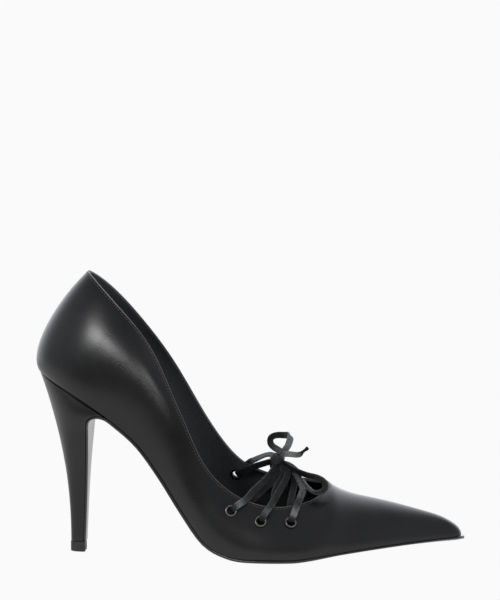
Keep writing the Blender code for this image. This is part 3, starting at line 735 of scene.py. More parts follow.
def lace_line(route):
    """Even points along a route, with the lace's width direction, width, thickness and paleness at each: wear
    together with painted highlight.
    """
    table = np.array(route, float)
    hops = np.linalg.norm(np.diff(table[:, :3], axis=0), axis=1)
    knots = np.concatenate([[0.0], np.cumsum(np.sqrt(hops))])
    fine = np.linspace(0, knots[-1], FINE_STEPS * len(table))
    dense = smooth_curve(table[:, :3], fine, knots)
    far = np.concatenate([[0.0], np.cumsum(np.linalg.norm(np.diff(dense, axis=0), axis=1))])
    count = max(LACE_LEAST_STEPS, int(far[-1] / LACE_STEP))
    at = np.interp(np.linspace(0, far[-1], count + 1), far, fine)
    line = smooth_curve(table[:, :3], at, knots)
    across = np.stack([rise_between(knots, table[:, k], at) for k in (3, 4, 5)], axis=1)
    width, thick, rub = (rise_between(knots, table[:, k], at) for k in (6, 7, 8))
    return line, across, width, thick, rub


print("a lace of", LACE_WIDTH, "by", LACE_THICK, "mm")

# %% Sweeping a flat lace
def flat_lace(route):
    """A closed flat sleeve along the route. Returns it with its centre line."""
    line, across, width, thick, rub = lace_line(route)
    runs = np.gradient(line, axis=0)
    runs = runs / np.linalg.norm(runs, axis=1, keepdims=True)
    across = across - runs * np.sum(across * runs, axis=1, keepdims=True)
    across = across / np.linalg.norm(across, axis=1, keepdims=True)
    faces = np.cross(runs, across)
    turns = np.linspace(0, 2 * math.pi, LACE_SIDES, endpoint=False)
    power = 2 / LACE_ROUND
    wide = np.sign(np.cos(turns)) * np.abs(np.cos(turns)) ** power * LACE_WIDTH / 2
    high = np.sign(np.sin(turns)) * np.abs(np.sin(turns)) ** power * LACE_THICK / 2
    places = (
        line[:, None, :]
        + across[:, None, :] * (wide[None, :] * width[:, None])[:, :, None]
        + faces[:, None, :] * (high[None, :] * thick[:, None])[:, :, None]
    )
    sleeve = lofted(places)
    tree = line_tree([Vector(point) for point in line])

    # Paler towards the edges: wear together with a painted edge highlight.
    def rubbed_with_sheen(point):
        _, _, i, away = tree.find_nearest(point.co)
        edge = (away / (LACE_WIDTH / 2) - EDGE_RUB_AND_HIGHLIGHT_STARTS) / EDGE_RUB_AND_HIGHLIGHT_RUN
        return rub[i] + EDGE_RUB_AND_HIGHLIGHT * max(0.0, min(1.0, edge))

    wear(sleeve, rubbed_with_sheen)
    return sleeve, line


def join(whole, shape):
    """Adds one shape to another and frees it."""
    part = bpy.data.meshes.new("part")
    shape.to_mesh(part)
    whole.from_mesh(part)
    shape.free()
    bpy.data.meshes.remove(part)


def length_of(line):
    return float(np.linalg.norm(np.diff(line, axis=0), axis=1).sum())


print("a sleeve has", LACE_SIDES, "sides")

# %% The loop that stands up
# The paler rows, where the loop turns, carry wear together with a painted highlight.
LOOP_UP = [
    Lace(17.8, -1.0, 53.9, -0.84, -0.1, -0.53),
    Lace(16.2, 0.0, 56.3, -0.65, 0.06, -0.76, rub=0.45),
    Lace(13.2, 1.6, 58.0, -0.53, 0.21, -0.83, rub=0.3),
    Lace(11.1, 3.2, 60.3, -0.85, 0.28, -0.44, rub=0.05),
    Lace(11.5, 4.6, 63.0, -0.8, 0.42, 0.44, rub=0.0),
    Lace(14.3, 5.4, 64.2, -0.26, 0.53, 0.81, rub=0.0),
    Lace(17.3, 6.2, 64.2, -0.06, 0.45, 0.89, rub=0.05),
    Lace(19.6, 6.0, 64.2, -0.2, 0.35, 0.91, rub=0.3),
    Lace(21.6, 4.2, 64.4, -0.6, 0.1, 0.8, 0.9, rub=0.7),
    Lace(22.0, 2.2, 63.1, -0.88, -0.1, 0.45, rub=1.25),
    Lace(21.5, 1.0, 61.0, -0.97, 0.1, 0.15, rub=1.4),
    Lace(20.6, 0.4, 58.8, -0.93, 0.23, 0.29, rub=1.1),
    Lace(18.9, -0.2, 56.5, -0.84, 0.18, 0.52, rub=0.4),
    Lace(16.6, -0.9, 53.5, -0.8, 0.01, 0.6),
]
shape, loop_up_line = flat_lace(LOOP_UP)
bow_loop_up = piece("bow_loop_up", shape, soft_lace)
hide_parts("lace_loop_up")
(loop_up_line[0] * MM).tolist()
(loop_up_line * MM).tolist()
print("standing loop:", round(length_of(loop_up_line), 1), "mm of lace")

# %% The loop that lies forward, and the free end
# The paler rows, on the bends and on the end, carry wear together with a painted highlight.
LOOP_FRONT = [
    Lace(15.8, -1.4, 51.6, 0.5, -0.3, 0.8),
    Lace(20.3, -4.2, 48.9, 0.35, -0.45, 0.8, rub=0.0),
    Lace(26.3, -8.0, 46.3, 0.3, -0.5, 0.8, rub=0.0),
    Lace(33.0, -11.0, 44.5, 0.25, -0.5, 0.82, rub=0.02),
    Lace(38.1, -12.3, 43.4, 0.45, -0.5, 0.74, rub=0.1),
    Lace(41.6, -13.0, 40.6, 0.85, -0.5, 0.1),
    Lace(41.1, -14.4, 37.3, 0.6, -0.65, -0.45),
    Lace(37.5, -15.6, 35.9, 0.1, -0.85, -0.5),
    Lace(34.0, -15.2, 37.2, -0.1, -0.95, -0.3, rub=0.25),
    Lace(31.2, -13.4, 39.8, -0.15, -0.95, -0.2, rub=0.25),
    Lace(28.3, -10.0, 43.0, -0.1, -0.95, 0.0, rub=0.1),
    Lace(23.5, -5.6, 46.3, 0.0, -0.8, 0.5),
    Lace(17.8, -2.2, 49.7, 0.2, -0.3, 0.9),
    Lace(16.2, -1.6, 52.8, 0.1, 0.2, 0.9),
    Lace(18.7, -3.4, 55.0, 0.0, 0.58, 0.81, rub=0.6),
    Lace(23.0, -4.8, 55.2, 0.18, 0.74, 0.64, rub=1.3),
    Lace(27.4, -5.8, 55.3, -0.03, 0.62, 0.78, 0.9, rub=0.5),
    Lace(28.9, -6.2, 56.5, -0.63, 0.04, 0.78, 0.5, 1.3),
    Lace(30.5, -6.5, 57.9, -0.65, 0.03, 0.76, 0.42, 1.45),
    Lace(31.5, -6.8, 58.7, -0.65, 0.03, 0.76, 0.58, 2.0),
    Lace(32.1, -6.9, 59.2, -0.62, 0.04, 0.78, 0.5, 1.7),
]
shape, loop_front_line = flat_lace(LOOP_FRONT)
bow_loop_front = piece("bow_loop_front", shape, soft_lace)
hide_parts("lace_loop_front", "lace_end")
(loop_front_line[0] * MM).tolist()
(loop_front_line * MM).tolist()
print("front loop and end:", round(length_of(loop_front_line), 1), "mm of lace")

# %% [markdown]
# ## The upper
# The upper is one thin wall of leather. We lay a fine grid over the last, out along the outer side, round
# the heel and home along the inner side; its top edges weld together along the ridge of the vamp. The
# eyelet holes are opened by deleting a few faces and drawing their rim into a circle. A Solidify modifier
# then gives the wall its thickness, with the lining on its inner face, and a Bevel rounds the folded
# topline. Leather that is laced pulls in around its eyelets and puckers a little, so a few soft hollows are
# pressed in where a table lists them.

# %% Eyelet places
WALL = 1.6
GAP = 0.3
EYELET_HOLE_R = 2.8
Eyelet = namedtuple("Eyelet", "name side section rise")
EYELETS = [
    Eyelet("eyelet_lateral_rear", "lat", 11.96, 0.73),
    Eyelet("eyelet_lateral_middle", "lat", 10.66, 0.70),
    Eyelet("eyelet_lateral_front", "lat", 9.40, 0.67),
    Eyelet("eyelet_medial_rear", "med", 12.19, 0.785),
    Eyelet("eyelet_medial_middle", "med", 10.85, 0.75),
    Eyelet("eyelet_medial_front", "med", 9.45, 0.72),
]
EYELET_FRAMES = [wall_frame(row.section, row.side, row.rise) for row in EYELETS]
print("eyelets at", [np.round(place, 1).tolist() for place, _, _ in EYELET_FRAMES])

# %% Hollows and creases
Hollow = namedtuple("Hollow", "side section rise depth spread_along spread_up")
HOLLOWS = [
    Hollow("lat", 11.3, 0.86, 0.10, 6.0, 4.0),
    Hollow("lat", 10.0, 0.84, 0.12, 6.0, 4.0),
    Hollow("lat", 8.75, 0.80, 0.10, 7.0, 5.0),
    Hollow("med", 11.5, 0.88, 0.12, 6.0, 4.0),
    Hollow("med", 10.1, 0.86, 0.14, 6.0, 4.0),
    Hollow("med", 8.8, 0.82, 0.12, 7.0, 5.0),
    Hollow("lat", 13.2, 0.30, 0.12, 9.0, 7.0),
    Hollow("med", 13.4, 0.34, 0.16, 9.0, 7.0),
]
HOLLOW_ENDS = 3.0
THROAT_REACHES = (26.0, 22.0, 18.0, 14.0, 10.0)
THROAT_POINTS = 41
SMOOTH_STEPS = 8
SMOOTH_FACTOR = 0.5
EYELET_DIMPLE = 0.28
EYELET_DIMPLE_R = 5.2


def press_hollows(shape):
    """Moves the wall in a little round the eyelets and in the hollows."""
    bmesh.ops.recalc_face_normals(shape, faces=shape.faces)
    shape.normal_update()
    moves = [Vector() for _ in shape.verts]
    for row in HOLLOWS:
        centre, normal, upward = (Vector(v) for v in wall_frame(row.section, row.side, row.rise))
        forward = upward.cross(normal)
        for i, point in enumerate(shape.verts):
            away = point.co - centre
            reach = (away.dot(forward) / row.spread_along) ** 2 + (away.dot(upward) / row.spread_up) ** 2
            if reach < HOLLOW_ENDS**2 and abs(away.dot(normal)) < 2 * row.spread_along:
                moves[i] -= normal * row.depth * math.exp(-reach)
    for place, normal, _ in EYELET_FRAMES:
        centre, normal = Vector(place), Vector(normal)
        for i, point in enumerate(shape.verts):
            away = (point.co - centre).length
            if away < 2 * EYELET_DIMPLE_R:
                moves[i] -= normal * EYELET_DIMPLE * math.exp(-((away / EYELET_DIMPLE_R) ** 4))
    for point, move in zip(shape.verts, moves):
        point.co += move


def relax_throat(shape):
    """Smooths the leather in front of and beside the throat, most near its middle, and leaves the edges."""
    rises = np.linspace(0, 1, THROAT_POINTS)
    across_vamp = [*wall_curve(THROAT, "lat", rises), *wall_curve(THROAT, "med", rises[::-1])]
    tree = line_tree([Vector(point) for point in across_vamp])
    for reach in THROAT_REACHES:
        near = [p for p in shape.verts if not p.is_boundary and tree.find_nearest(p.co)[3] < reach]
        for _ in range(SMOOTH_STEPS):
            bmesh.ops.smooth_vert(
                shape, verts=near, factor=SMOOTH_FACTOR, use_axis_x=True, use_axis_y=True, use_axis_z=True
            )


print("hollows:", len(HOLLOWS))

# %% Opening the eyelet holes
def open_hole(shape, centre, normal, radius):
    """Deletes the faces inside a circle and draws the rim that is left onto the circle."""
    centre, normal = Vector(centre), Vector(normal)

    def flat(point):
        away = point - centre
        return away - normal * away.dot(normal)

    near = [face for face in shape.faces if (face.calc_center_median() - centre).length < 2 * radius]
    inside = [face for face in near if flat(face.calc_center_median()).length < radius]
    rim_points = {point for face in inside for point in face.verts}
    bmesh.ops.delete(shape, geom=inside, context="FACES")
    for point in rim_points:
        if point.is_valid:
            away = flat(point.co)
            point.co += away.normalized() * (radius - away.length)


COLUMNS_PER_SECTION = 9
ROWS_UP_WALL = 44


def wall_places():
    """The outside of the upper as an array: out along the lateral side, home along the medial side."""
    per = COLUMNS_PER_SECTION
    rises = np.linspace(0, 1, ROWS_UP_WALL + 1)
    out = [(k / per, "lat") for k in range(HEEL_BACK * per)]
    home = [(k / per, "med") for k in range(HEEL_BACK * per, -1, -1)]
    return np.array([wall_curve(section, side, rises) for section, side in out + home])


places = wall_places()
skin = bent_grid(len(places) - 1, ROWS_UP_WALL, places)
weld(skin)
bmesh.ops.recalc_face_normals(skin, faces=skin.faces)
relax_throat(skin)
press_hollows(skin)
pressed_wall = BVHTree.FromBMesh(skin)
for place, normal, _ in EYELET_FRAMES:
    centre = pressed_wall.find_nearest(Vector(place))[0]
    open_hole(skin, centre, normal, EYELET_HOLE_R)
print("upper grid:", len(skin.faces), "faces")

# %% The upper's edge wear, thickness and fold
FOLD_RADIUS = 0.3
WORN_BAND = 0.9
TOPLINE_WEAR = 0.5
RIM_POINTS = 360


def topline_points(count):
    """Places round the topline, from the throat and back to it."""
    at = np.linspace(0, len(TOPLINE_LOOP), count + 1)
    return [Vector(point) for point in smooth_curve(TOPLINE_LOOP, at, closed=True)]


rim_line = topline_points(RIM_POINTS)
rim_tree = line_tree(rim_line)


def near_topline(point):
    away = rim_tree.find_nearest(point.co)[3]
    return TOPLINE_WEAR * max(0.0, 1.0 - away / WORN_BAND)


wear(skin, near_topline)
upper = piece("upper_skin", skin, upper_leather, lining_leather)
shell = upper.modifiers.new("leather thickness", "SOLIDIFY")
shell.thickness = WALL * MM
shell.offset = -1.0
shell.use_even_offset = True
shell.material_offset = 1
fold = bevel(upper, "folded edge", FOLD_RADIUS, segments=3, angle=50)
fold.harden_normals = True
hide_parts("upper")
print("upper:", len(upper.data.polygons), "faces before its thickness")

# %% [markdown]
# ## The topline's highlight bead
# The fold closes on a thin cord. Its pale tan colour is a painted highlight of the folded edge, turning to a
# painted silver glint towards the back, and it shows as a pale line along the near edge of the opening. A
# ring of eight points is carried round the topline, just inside the corner of the wall.

# %% The topline's highlight bead
HIGHLIGHT_BEAD_R = 0.34
HIGHLIGHT_BEAD_INSET = 0.28
HIGHLIGHT_BEAD_SIDES = 8
HIGHLIGHT_BEAD_PROBE = 1.0


def binding_leather():
    """Pale tan cord as a painted highlight of the fold, turning to a painted silver glint towards the back.
    """
    finish = Finish("binding_leather")
    twist = finish.noise(900.0, 3.0)
    # Towards the back the colour turns silver: a painted glint.
    behind = finish.axis("X", finish.place()).between(-0.055, -0.075)
    tan_highlight = finish.blend(twist, (0.05, 0.042, 0.035, 1.0), (0.16, 0.135, 0.11, 1.0))
    finish.set(base_color=finish.blend(behind, tan_highlight, grey(0.3, 0.03)), roughness=0.45)
    return finish.material


def down_wall(point, run, reach):
    """The way down the wall from a place on the topline, and what it meets on the leather at that reach."""
    side = run.cross(pressed_wall.find_nearest(point)[1]).normalized()
    ways = [(way, pressed_wall.find_nearest(point + way * reach)) for way in (side, -side)]
    return min(ways, key=lambda found: found[1][3])


def highlight_bead_rings():
    rings = []
    turns = np.linspace(0, 2 * math.pi, HIGHLIGHT_BEAD_SIDES, endpoint=False)
    for i, point in enumerate(rim_line):
        run = rim_line[(i + 1) % RIM_POINTS] - rim_line[(i - 1) % RIM_POINTS]
        normal = pressed_wall.find_nearest(point)[1]
        downward, _ = down_wall(point, run, HIGHLIGHT_BEAD_PROBE)
        centre = point + (downward - normal) * HIGHLIGHT_BEAD_INSET
        rings.append([centre + (normal * math.cos(t) + downward * math.sin(t)) * HIGHLIGHT_BEAD_R for t in turns])
    return rings


# A thin cord whose pale colour is a painted highlight along the topline's edge.
cord = lofted(highlight_bead_rings())
highlight_bead = piece("topline_highlight_bead", cord, binding_leather())
print("binding:", len(highlight_bead.data.polygons), "faces")

# %% [markdown]
# ## Stitches along the topline
# The folded edge is held by one row of fine stitches, 1.5 mm under it, all the way round the opening.
# Each stitch is a small, slightly sunk grain of thread. They follow the topline at a fixed distance,
# snapped onto the leather.

# %% Stitches along the topline
STITCH_BELOW = 1.5
STITCH_PITCH = 1.75
STITCH_SIZE = (0.56, 0.2, 0.2)
STITCH_SINK = 0.02
STITCH_LINE_POINTS = 1200


def thread():
    """Waxed black thread, a little paler than the leather."""
    finish = Finish("thread")
    twist = finish.noise(2400.0, 2.0)
    finish.set(base_color=finish.blend(twist, grey(0.035), grey(0.1)), roughness=0.45)
    return finish.material


def stitch_places():
    """Places, directions and normals of the stitches, evenly spaced round the opening."""
    dense = topline_points(STITCH_LINE_POINTS)
    offset = []
    for i, point in enumerate(dense[:-1]):
        run = dense[i + 1] - dense[i - 1 if i else -2]
        _, (place, normal, _, _) = down_wall(point, run, STITCH_BELOW)
        offset.append((place, normal))
    far = np.concatenate([[0.0], np.cumsum([(b[0] - a[0]).length for a, b in zip(offset, offset[1:])])])
    places = []
    for at in np.arange(0, far[-1], STITCH_PITCH):
        i = min(int(np.searchsorted(far, at)), len(offset) - 2)
        run = (offset[i + 1][0] - offset[i][0]).normalized()
        places.append((offset[i][0], run, offset[i][1]))
    return places


def turned(place, run, normal, size):
    """A matrix that lays a unit shape along run, on a surface with that normal."""
    side = normal.cross(run).normalized()
    up = run.cross(side).normalized()
    basis = Matrix((run * size[0], side * size[1], up * size[2])).transposed().to_4x4()
    return Matrix.Translation(place) @ basis


row_of_stitches = bmesh.new()
stitch_rows = stitch_places()
for place, run, normal in stitch_rows:
    where = turned(place - normal * STITCH_SINK, run, normal, STITCH_SIZE)
    bmesh.ops.create_icosphere(row_of_stitches, subdivisions=1, radius=1.0, matrix=where)
stitches = piece("topline_stitches", row_of_stitches, thread())
print("stitches:", len(stitch_rows))

# %% [markdown]
# ## Sole, insole and heel
# The outsole is a thin leather plate under the foot: it swells out past the upper at the toe, narrows to
# the waist, bends under the heel seat and runs down the front of the heel as a flap. Every cross section
# is the same idea, a flat top, a crowned underside and round edges, so one ring function makes them all.
# The heel is a loft from the seat, shaped like the back of the featherline, to a small rounded D at the
# lift.

# %% Sole sections
TOE_SOLE_THICK = 1.7
SOLE_THICK = 2.2
WAIST_THICK = 2.0
FLAP_THICK = 1.2
TOE_LIP = 1.9
FOREPART_LIP = 0.8
WAIST_LIP = -0.6
EDGE_ROUND = 0.7
EDGE_CAMBER = 0.8
WAIST_CAMBER = 0.2
LIFT_HEIGHT = 5.6
LIFT_HALF_WIDTH = 4.8
LIFT_FRONT = -91.0
LIFT_BACK = -98.9
LIFT_FLANGE = 0.2
HEEL_SEAT_HALF_WIDTH = 23.8
HEEL_SEAT_Z = 79.0
HEEL_SIDE_POWER = 2.6

FLAP_START = 17
FLAP_BREAST = 6
Flap = namedtuple("Flap", "name along height")
FLAP = [
    Flap("leaves the seat", 17.45, 74.2),
    Flap("bend rise", 16.3, 75.5),
    Flap("bend top", 15.15, 75.9),
    Flap("bend", 14.05, 75.3),
    Flap("bend fall", 13.35, 73.4),
    Flap("breast top", 13.1, 70.0),
    Flap("breast high", 12.95, 63.4),
    Flap("breast middle", 12.55, 46.0),
    Flap("breast low", 12.15, 26.0),
    Flap("breast end", 11.78, 5.9),
]


def bottom_normal(x):
    """Unit vector square to the bottom profile, pointing up into the shoe."""
    step = 0.5
    slope = (bottom_height(x + step) - bottom_height(x - step)) / (2 * step)
    return np.array((-slope, 0.0, 1.0)) / math.hypot(1.0, slope)


def sole_edge(section, lip):
    """Lateral and medial points of the featherline, moved out by the lip along the bottom profile."""
    edges = []
    for side in ("lat", "med"):
        x, y, _ = feather_point(section, side) + lip * plan_outward(section, side)
        edges.append(np.array((x, y, bottom_height(x))))
    return edges


SOLE_THICKNESS = {
    0: TOE_SOLE_THICK, 6: TOE_SOLE_THICK, 9: SOLE_THICK, 11: SOLE_THICK,
    14: WAIST_THICK, FLAP_START: WAIST_THICK,
}
SOLE_LIP = {0: TOE_LIP, 2: FOREPART_LIP, 10: FOREPART_LIP, 14: WAIST_LIP, FLAP_START: WAIST_LIP}
SOLE_CAMBER = {0: EDGE_CAMBER, 11: EDGE_CAMBER, 14: WAIST_CAMBER, FLAP_START: WAIST_CAMBER}
print("sole at the ball:", along_last(SOLE_THICKNESS, 10), "mm thick")

# %% The flap down the heel breast
def heel_half_width(z):
    """Half the heel's width at a height: slender from the top lift up, then spreading to the seat."""
    share = np.clip((z - LIFT_HEIGHT) / (HEEL_SEAT_Z - LIFT_HEIGHT), 0.0, 1.0)
    return LIFT_HALF_WIDTH + (HEEL_SEAT_HALF_WIDTH - LIFT_HALF_WIDTH) * share**HEEL_SIDE_POWER


def flap_path(place):
    """Point on the outsole's visible face behind the waist, and the direction into the heel."""
    lateral, medial = sole_edge(FLAP_START, WAIST_LIP)
    start = (lateral + medial) / 2
    start = start - bottom_normal(start[0]) * (GAP + WAIST_THICK)
    rows = [start * (1, 0, 1)] + [last_point(row.along, 0.0, row.height) for row in FLAP]
    step = 0.02
    here, ahead, behind = smooth_curve(rows, [place, place + step, place - step])
    run = unit(ahead - behind)
    return here, np.array((run[2], 0.0, -run[0]))


def flap_thickness(place):
    return WAIST_THICK + (FLAP_THICK - WAIST_THICK) * min(place / FLAP_BREAST, 1.0)


print("breast runs from", FLAP[FLAP_BREAST].name, "to", FLAP[-1].name)

# %% The outsole
SOLE_TOP_POINTS = 9
EDGE_POINTS = 5
EDGE_UPRIGHT = 0.35
CROWN_RUN = 0.36
SECTION_STEP = 0.25
TOE_SECTIONS = [0.12, 0.2, 0.3, 0.45, 0.6, 0.8]


def plate_ring(lateral, medial, into, top, thick, camber):
    """Ring of a plate from edge to edge: flat on top, round at the edges, crowned underneath."""
    across = medial - lateral
    sideways = unit(across)
    edge_low = thick - camber
    upper_side = [lateral + across * f + into * top for f in np.linspace(0, 1, SOLE_TOP_POINTS)]

    def edge(start, inwards):
        turns = np.linspace(0, math.pi / 2, EDGE_POINTS + 1)
        falls = [edge_low * (EDGE_UPRIGHT + (1 - EDGE_UPRIGHT) * math.sin(t)) for t in turns]
        return [
            start + inwards * EDGE_ROUND * (1 - math.cos(t)) + into * (top - fall)
            for t, fall in zip(turns, falls)
        ]

    shares = np.linspace(1, 0, SOLE_TOP_POINTS + 2)[1:-1]
    crown = [min(1.0, (1 - abs(2 * f - 1)) / CROWN_RUN) for f in shares]
    low = [edge_low + camber * c * (2 - c) for c in crown]
    inner_lateral = lateral + sideways * EDGE_ROUND
    inner = across - sideways * 2 * EDGE_ROUND
    lower_side = [inner_lateral + inner * f + into * (top - d) for f, d in zip(shares, low)]
    return upper_side + edge(medial, -sideways) + lower_side + edge(lateral, sideways)[::-1]


def outsole_rings():
    rings = []
    for section in [*TOE_SECTIONS, *np.arange(1, FLAP_START + SECTION_STEP / 2, SECTION_STEP)]:
        lateral, medial = sole_edge(section, along_last(SOLE_LIP, section))
        into = bottom_normal((lateral[0] + medial[0]) / 2)
        thick, camber = along_last(SOLE_THICKNESS, section), along_last(SOLE_CAMBER, section)
        rings.append(plate_ring(lateral, medial, into, -GAP, thick, camber))
    lateral, medial = sole_edge(FLAP_START, WAIST_LIP)
    for place in np.arange(SECTION_STEP, len(FLAP) + SECTION_STEP / 2, SECTION_STEP):
        seen, into = flap_path(place)
        down = min(place / FLAP_BREAST, 1.0)
        half = heel_half_width(seen[2])
        edge_lateral = np.array((seen[0], lateral[1] * (1 - down) - half * down, seen[2]))
        edge_medial = np.array((seen[0], medial[1] * (1 - down) + half * down, seen[2]))
        thick = flap_thickness(place)
        rings.append(plate_ring(edge_lateral, edge_medial, into, thick, thick, WAIST_CAMBER))
    return rings


outsole = piece("outsole_waxed", lofted(outsole_rings()), waxed_sole)
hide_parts("outsole")
print("outsole:", len(outsole.data.polygons), "faces")

# %% The insole and its sock
INSOLE_THICK = 1.8
SOCK_INSET = 1.8
SEAT_INSET = 1.5
SOCK_INSETS = {0: SOCK_INSET, 14: SOCK_INSET, 18: SEAT_INSET, HEEL_BACK: SEAT_INSET}
SOCK_FLARE = 0.65
SOCK_POINTS = 14
SOCK_CROWN = 0.35
SOCK_TURN_POWER = 6
SOCK_TOE_SECTIONS = [0.5, 0.7]
SOCK_HEEL_SECTIONS = HEEL_BACK - np.array([0.7, 0.5, 0.35, 0.22, 0.12, 0.05])


def insole_rings():
    """Insole board with a sock whose top edge flares out to the lining, so that no light comes through."""
    rings = []
    shares = np.linspace(0, 1, SOCK_POINTS + 1)
    heights = [INSOLE_THICK - SOCK_CROWN * abs(2 * f - 1) ** SOCK_TURN_POWER for f in shares]
    middle = np.arange(1, HEEL_BACK - 1 + SECTION_STEP / 2, SECTION_STEP)
    for section in [*SOCK_TOE_SECTIONS, *middle, *SOCK_HEEL_SECTIONS]:
        inset = along_last(SOCK_INSETS, section)
        lateral, medial = sole_edge(section, -inset)
        into = bottom_normal((lateral[0] + medial[0]) / 2)
        wide_lateral, wide_medial = sole_edge(section, SOCK_FLARE - inset)
        wide = wide_medial - wide_lateral
        top = [wide_lateral + wide * f + into * height for f, height in zip(shares, heights)]
        low = [lateral + (medial - lateral) * f for f in shares[::-1]]
        rings.append(top + low)
    return rings


insole = piece("insole_sock", lofted(insole_rings()), lining_leather)
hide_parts("insole")
print("insole:", len(insole.data.polygons), "faces")

# %% The heel's front and back
HEEL_BACK_POWER = 2.15
HEEL_FRONT_SECTION = 17.52
HEEL_RINGS = 68
HEEL_RING_POWER = 1.55
HEEL_INSET = 0.4
HEEL_SIDE_POINTS = 24
GROOVE = 1.3
GROOVE_END = 0.045
FLAP_STEP = 0.5
ROUNDNESS = 2.3
CAD_RINGS = 17
CAD_BEND_RINGS = 9
SETTLE_END = 0.6
HEEL_EDGE = 0.35


def heel_front(share):
    """Point of the heel's front edge, for a share from the seat down, behind the bend and the breast."""
    ring = share * CAD_RINGS
    first = FLAP_BREAST - (CAD_BEND_RINGS - 1) * FLAP_STEP
    if ring < 1:
        x = feather_point(HEEL_FRONT_SECTION, "lat")[0]
        seat = np.array((x, 0.0, bottom_height(x) - GAP))
        seen, into = flap_path(first)
        return seat + (seen + into * (flap_thickness(first) + GAP) - seat) * ring
    if ring <= CAD_BEND_RINGS:
        place = FLAP_BREAST - (CAD_BEND_RINGS - ring) * FLAP_STEP
    else:
        fall = (ring - CAD_BEND_RINGS) / (CAD_RINGS - CAD_BEND_RINGS)
        place = FLAP_BREAST + (len(FLAP) - FLAP_BREAST) * fall
    seen, into = flap_path(place)
    return seen + into * (flap_thickness(place) + GAP)


def heel_back(share):
    """Point of the heel's back line."""
    seat = feather_point(HEEL_BACK, "lat") + np.array((HEEL_INSET, 0.0, -GAP))
    foot_z = LIFT_HEIGHT + GAP
    z = seat[2] + (foot_z - seat[2]) * share**HEEL_RING_POWER
    lean = (z - foot_z) / (seat[2] - foot_z)
    return np.array((LIFT_BACK + (seat[0] - LIFT_BACK) * lean**HEEL_BACK_POWER, 0.0, z))


print("heel's foot, front and back:", np.round([heel_front(1)[0], heel_back(1)[0]], 1).tolist())

# %% The heel
def round_end(turn):
    """A rounded D: place along (0 front, 1 back) and share of the half width, for a quarter turn."""
    power = 2 / ROUNDNESS
    return math.sin(turn) ** power, abs(math.cos(turn)) ** power


def seat_section(i):
    """Section of the last behind point i of a heel ring's side."""
    return HEEL_FRONT_SECTION + (HEEL_BACK - HEEL_FRONT_SECTION) * i / HEEL_SIDE_POINTS


def seat_outline(side):
    """The heel seat's own outline on one side: share along it and share of its half width."""
    seat_x = heel_front(0)[0], heel_back(0)[0]
    half = abs(feather_point(HEEL_FRONT_SECTION, side)[1])
    rows = []
    for i in range(HEEL_SIDE_POINTS + 1):
        section = seat_section(i)
        seat = feather_point(section, side) - HEEL_INSET * plan_outward(section, side)
        rows.append(((seat[0] - seat_x[0]) / (seat_x[1] - seat_x[0]), abs(seat[1]) / half))
    return half, rows


def heel_ring(share, seats):
    """One ring of the heel, from the lateral front corner round the back to the medial one."""
    front = heel_front(share)
    back = heel_back(share)
    settle = ease(share / SETTLE_END)
    groove = GROOVE * max(0.0, 1 - share / GROOVE_END) ** 2
    spread = min(share * CAD_RINGS / CAD_BEND_RINGS, 1.0)
    sides = []
    for side, sign in (("lat", -1.0), ("med", 1.0)):
        seat_half, rows = seats[side]
        half = seat_half * (1 - spread) + heel_half_width(front[2]) * spread
        points = []
        for i, (seat_along, seat_across) in enumerate(rows):
            end_along, end_across = round_end(math.pi / 2 * i / HEEL_SIDE_POINTS)
            along = seat_along + (end_along - seat_along) * settle
            across = seat_across + (end_across - seat_across) * settle
            point = front + (back - front) * along + np.array((0.0, sign * half * across, 0.0))
            points.append(point - plan_outward(seat_section(i), side) * groove)
        sides.append(points)
    lateral, medial = sides
    if share == 0:
        for point in lateral + medial:
            point[2] = bottom_height(point[0]) - GAP
    return lateral + medial[-2::-1]


seats = {side: seat_outline(side) for side in ("lat", "med")}
shares = np.concatenate([[0, GROOVE_END / 3], np.linspace(GROOVE_END, 1, HEEL_RINGS - 1)])
heel_shape = lofted([heel_ring(share, seats) for share in shares])
wear(heel_shape, lambda point: 0.0)  # its finish reads the wear, and the heel has none
heel = piece("heel_cover", heel_shape, heel_leather)
bevel(heel, "skived edges", HEEL_EDGE, segments=2, angle=45)
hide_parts("heel")
print("heel:", len(heel.data.polygons), "faces")

# %% The top lift
LIFT_POINTS = 28
LIFT_EDGE = 0.3


def lift_outline():
    """A rounded D, a little wider than the heel's foot."""
    front = LIFT_FRONT + LIFT_FLANGE
    back = LIFT_BACK - LIFT_FLANGE
    half = LIFT_HALF_WIDTH + LIFT_FLANGE
    outline = []
    for i in range(-LIFT_POINTS, LIFT_POINTS + 1):
        along, across = round_end(math.pi / 2 * (1 - abs(i) / LIFT_POINTS))
        outline.append((front + (back - front) * along, math.copysign(half * across, i)))
    return outline


outline = lift_outline()
lift_shape = bmesh.new()
bmesh.ops.create_circle(lift_shape, cap_ends=True, segments=len(outline), radius=1.0)
tread = next(iter(lift_shape.faces))
for point, (x, y) in zip(tread.verts, outline):
    point.co = (x, y, 0.0)
raised = bmesh.ops.extrude_face_region(lift_shape, geom=[tread])
top_points = [made for made in raised["geom"] if isinstance(made, bmesh.types.BMVert)]
bmesh.ops.translate(lift_shape, verts=top_points, vec=(0.0, 0.0, LIFT_HEIGHT))
weld(lift_shape)
bmesh.ops.recalc_face_normals(lift_shape, faces=lift_shape.faces)
lift = piece("lift_moulded", lift_shape, hard_rubber)
bevel(lift, "moulded edge", LIFT_EDGE, segments=2, angle=40)
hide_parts("top_lift")
print("lift:", len(lift.data.polygons), "faces")

# %% [markdown]
# ## Eyelets
# An eyelet is a short tube with a flange rolled over at the front and clenched at the back. It is turned
# from one profile with a spin, then stood on the leather at each hole.

# %% Eyelets
EYELET_FLANGE_R = 3.3
EYELET_BORE_R = 2.1
EYELET_RIM = 0.8
EYELET_STEPS = 48
EYELET_ROLL_POINTS = 11
EYELET_ROLL_LIFT = 0.15
EYELET_BARREL = 0.35
RIM_WEAR_STARTS = 0.5
RIM_WEAR_RUN = 0.7


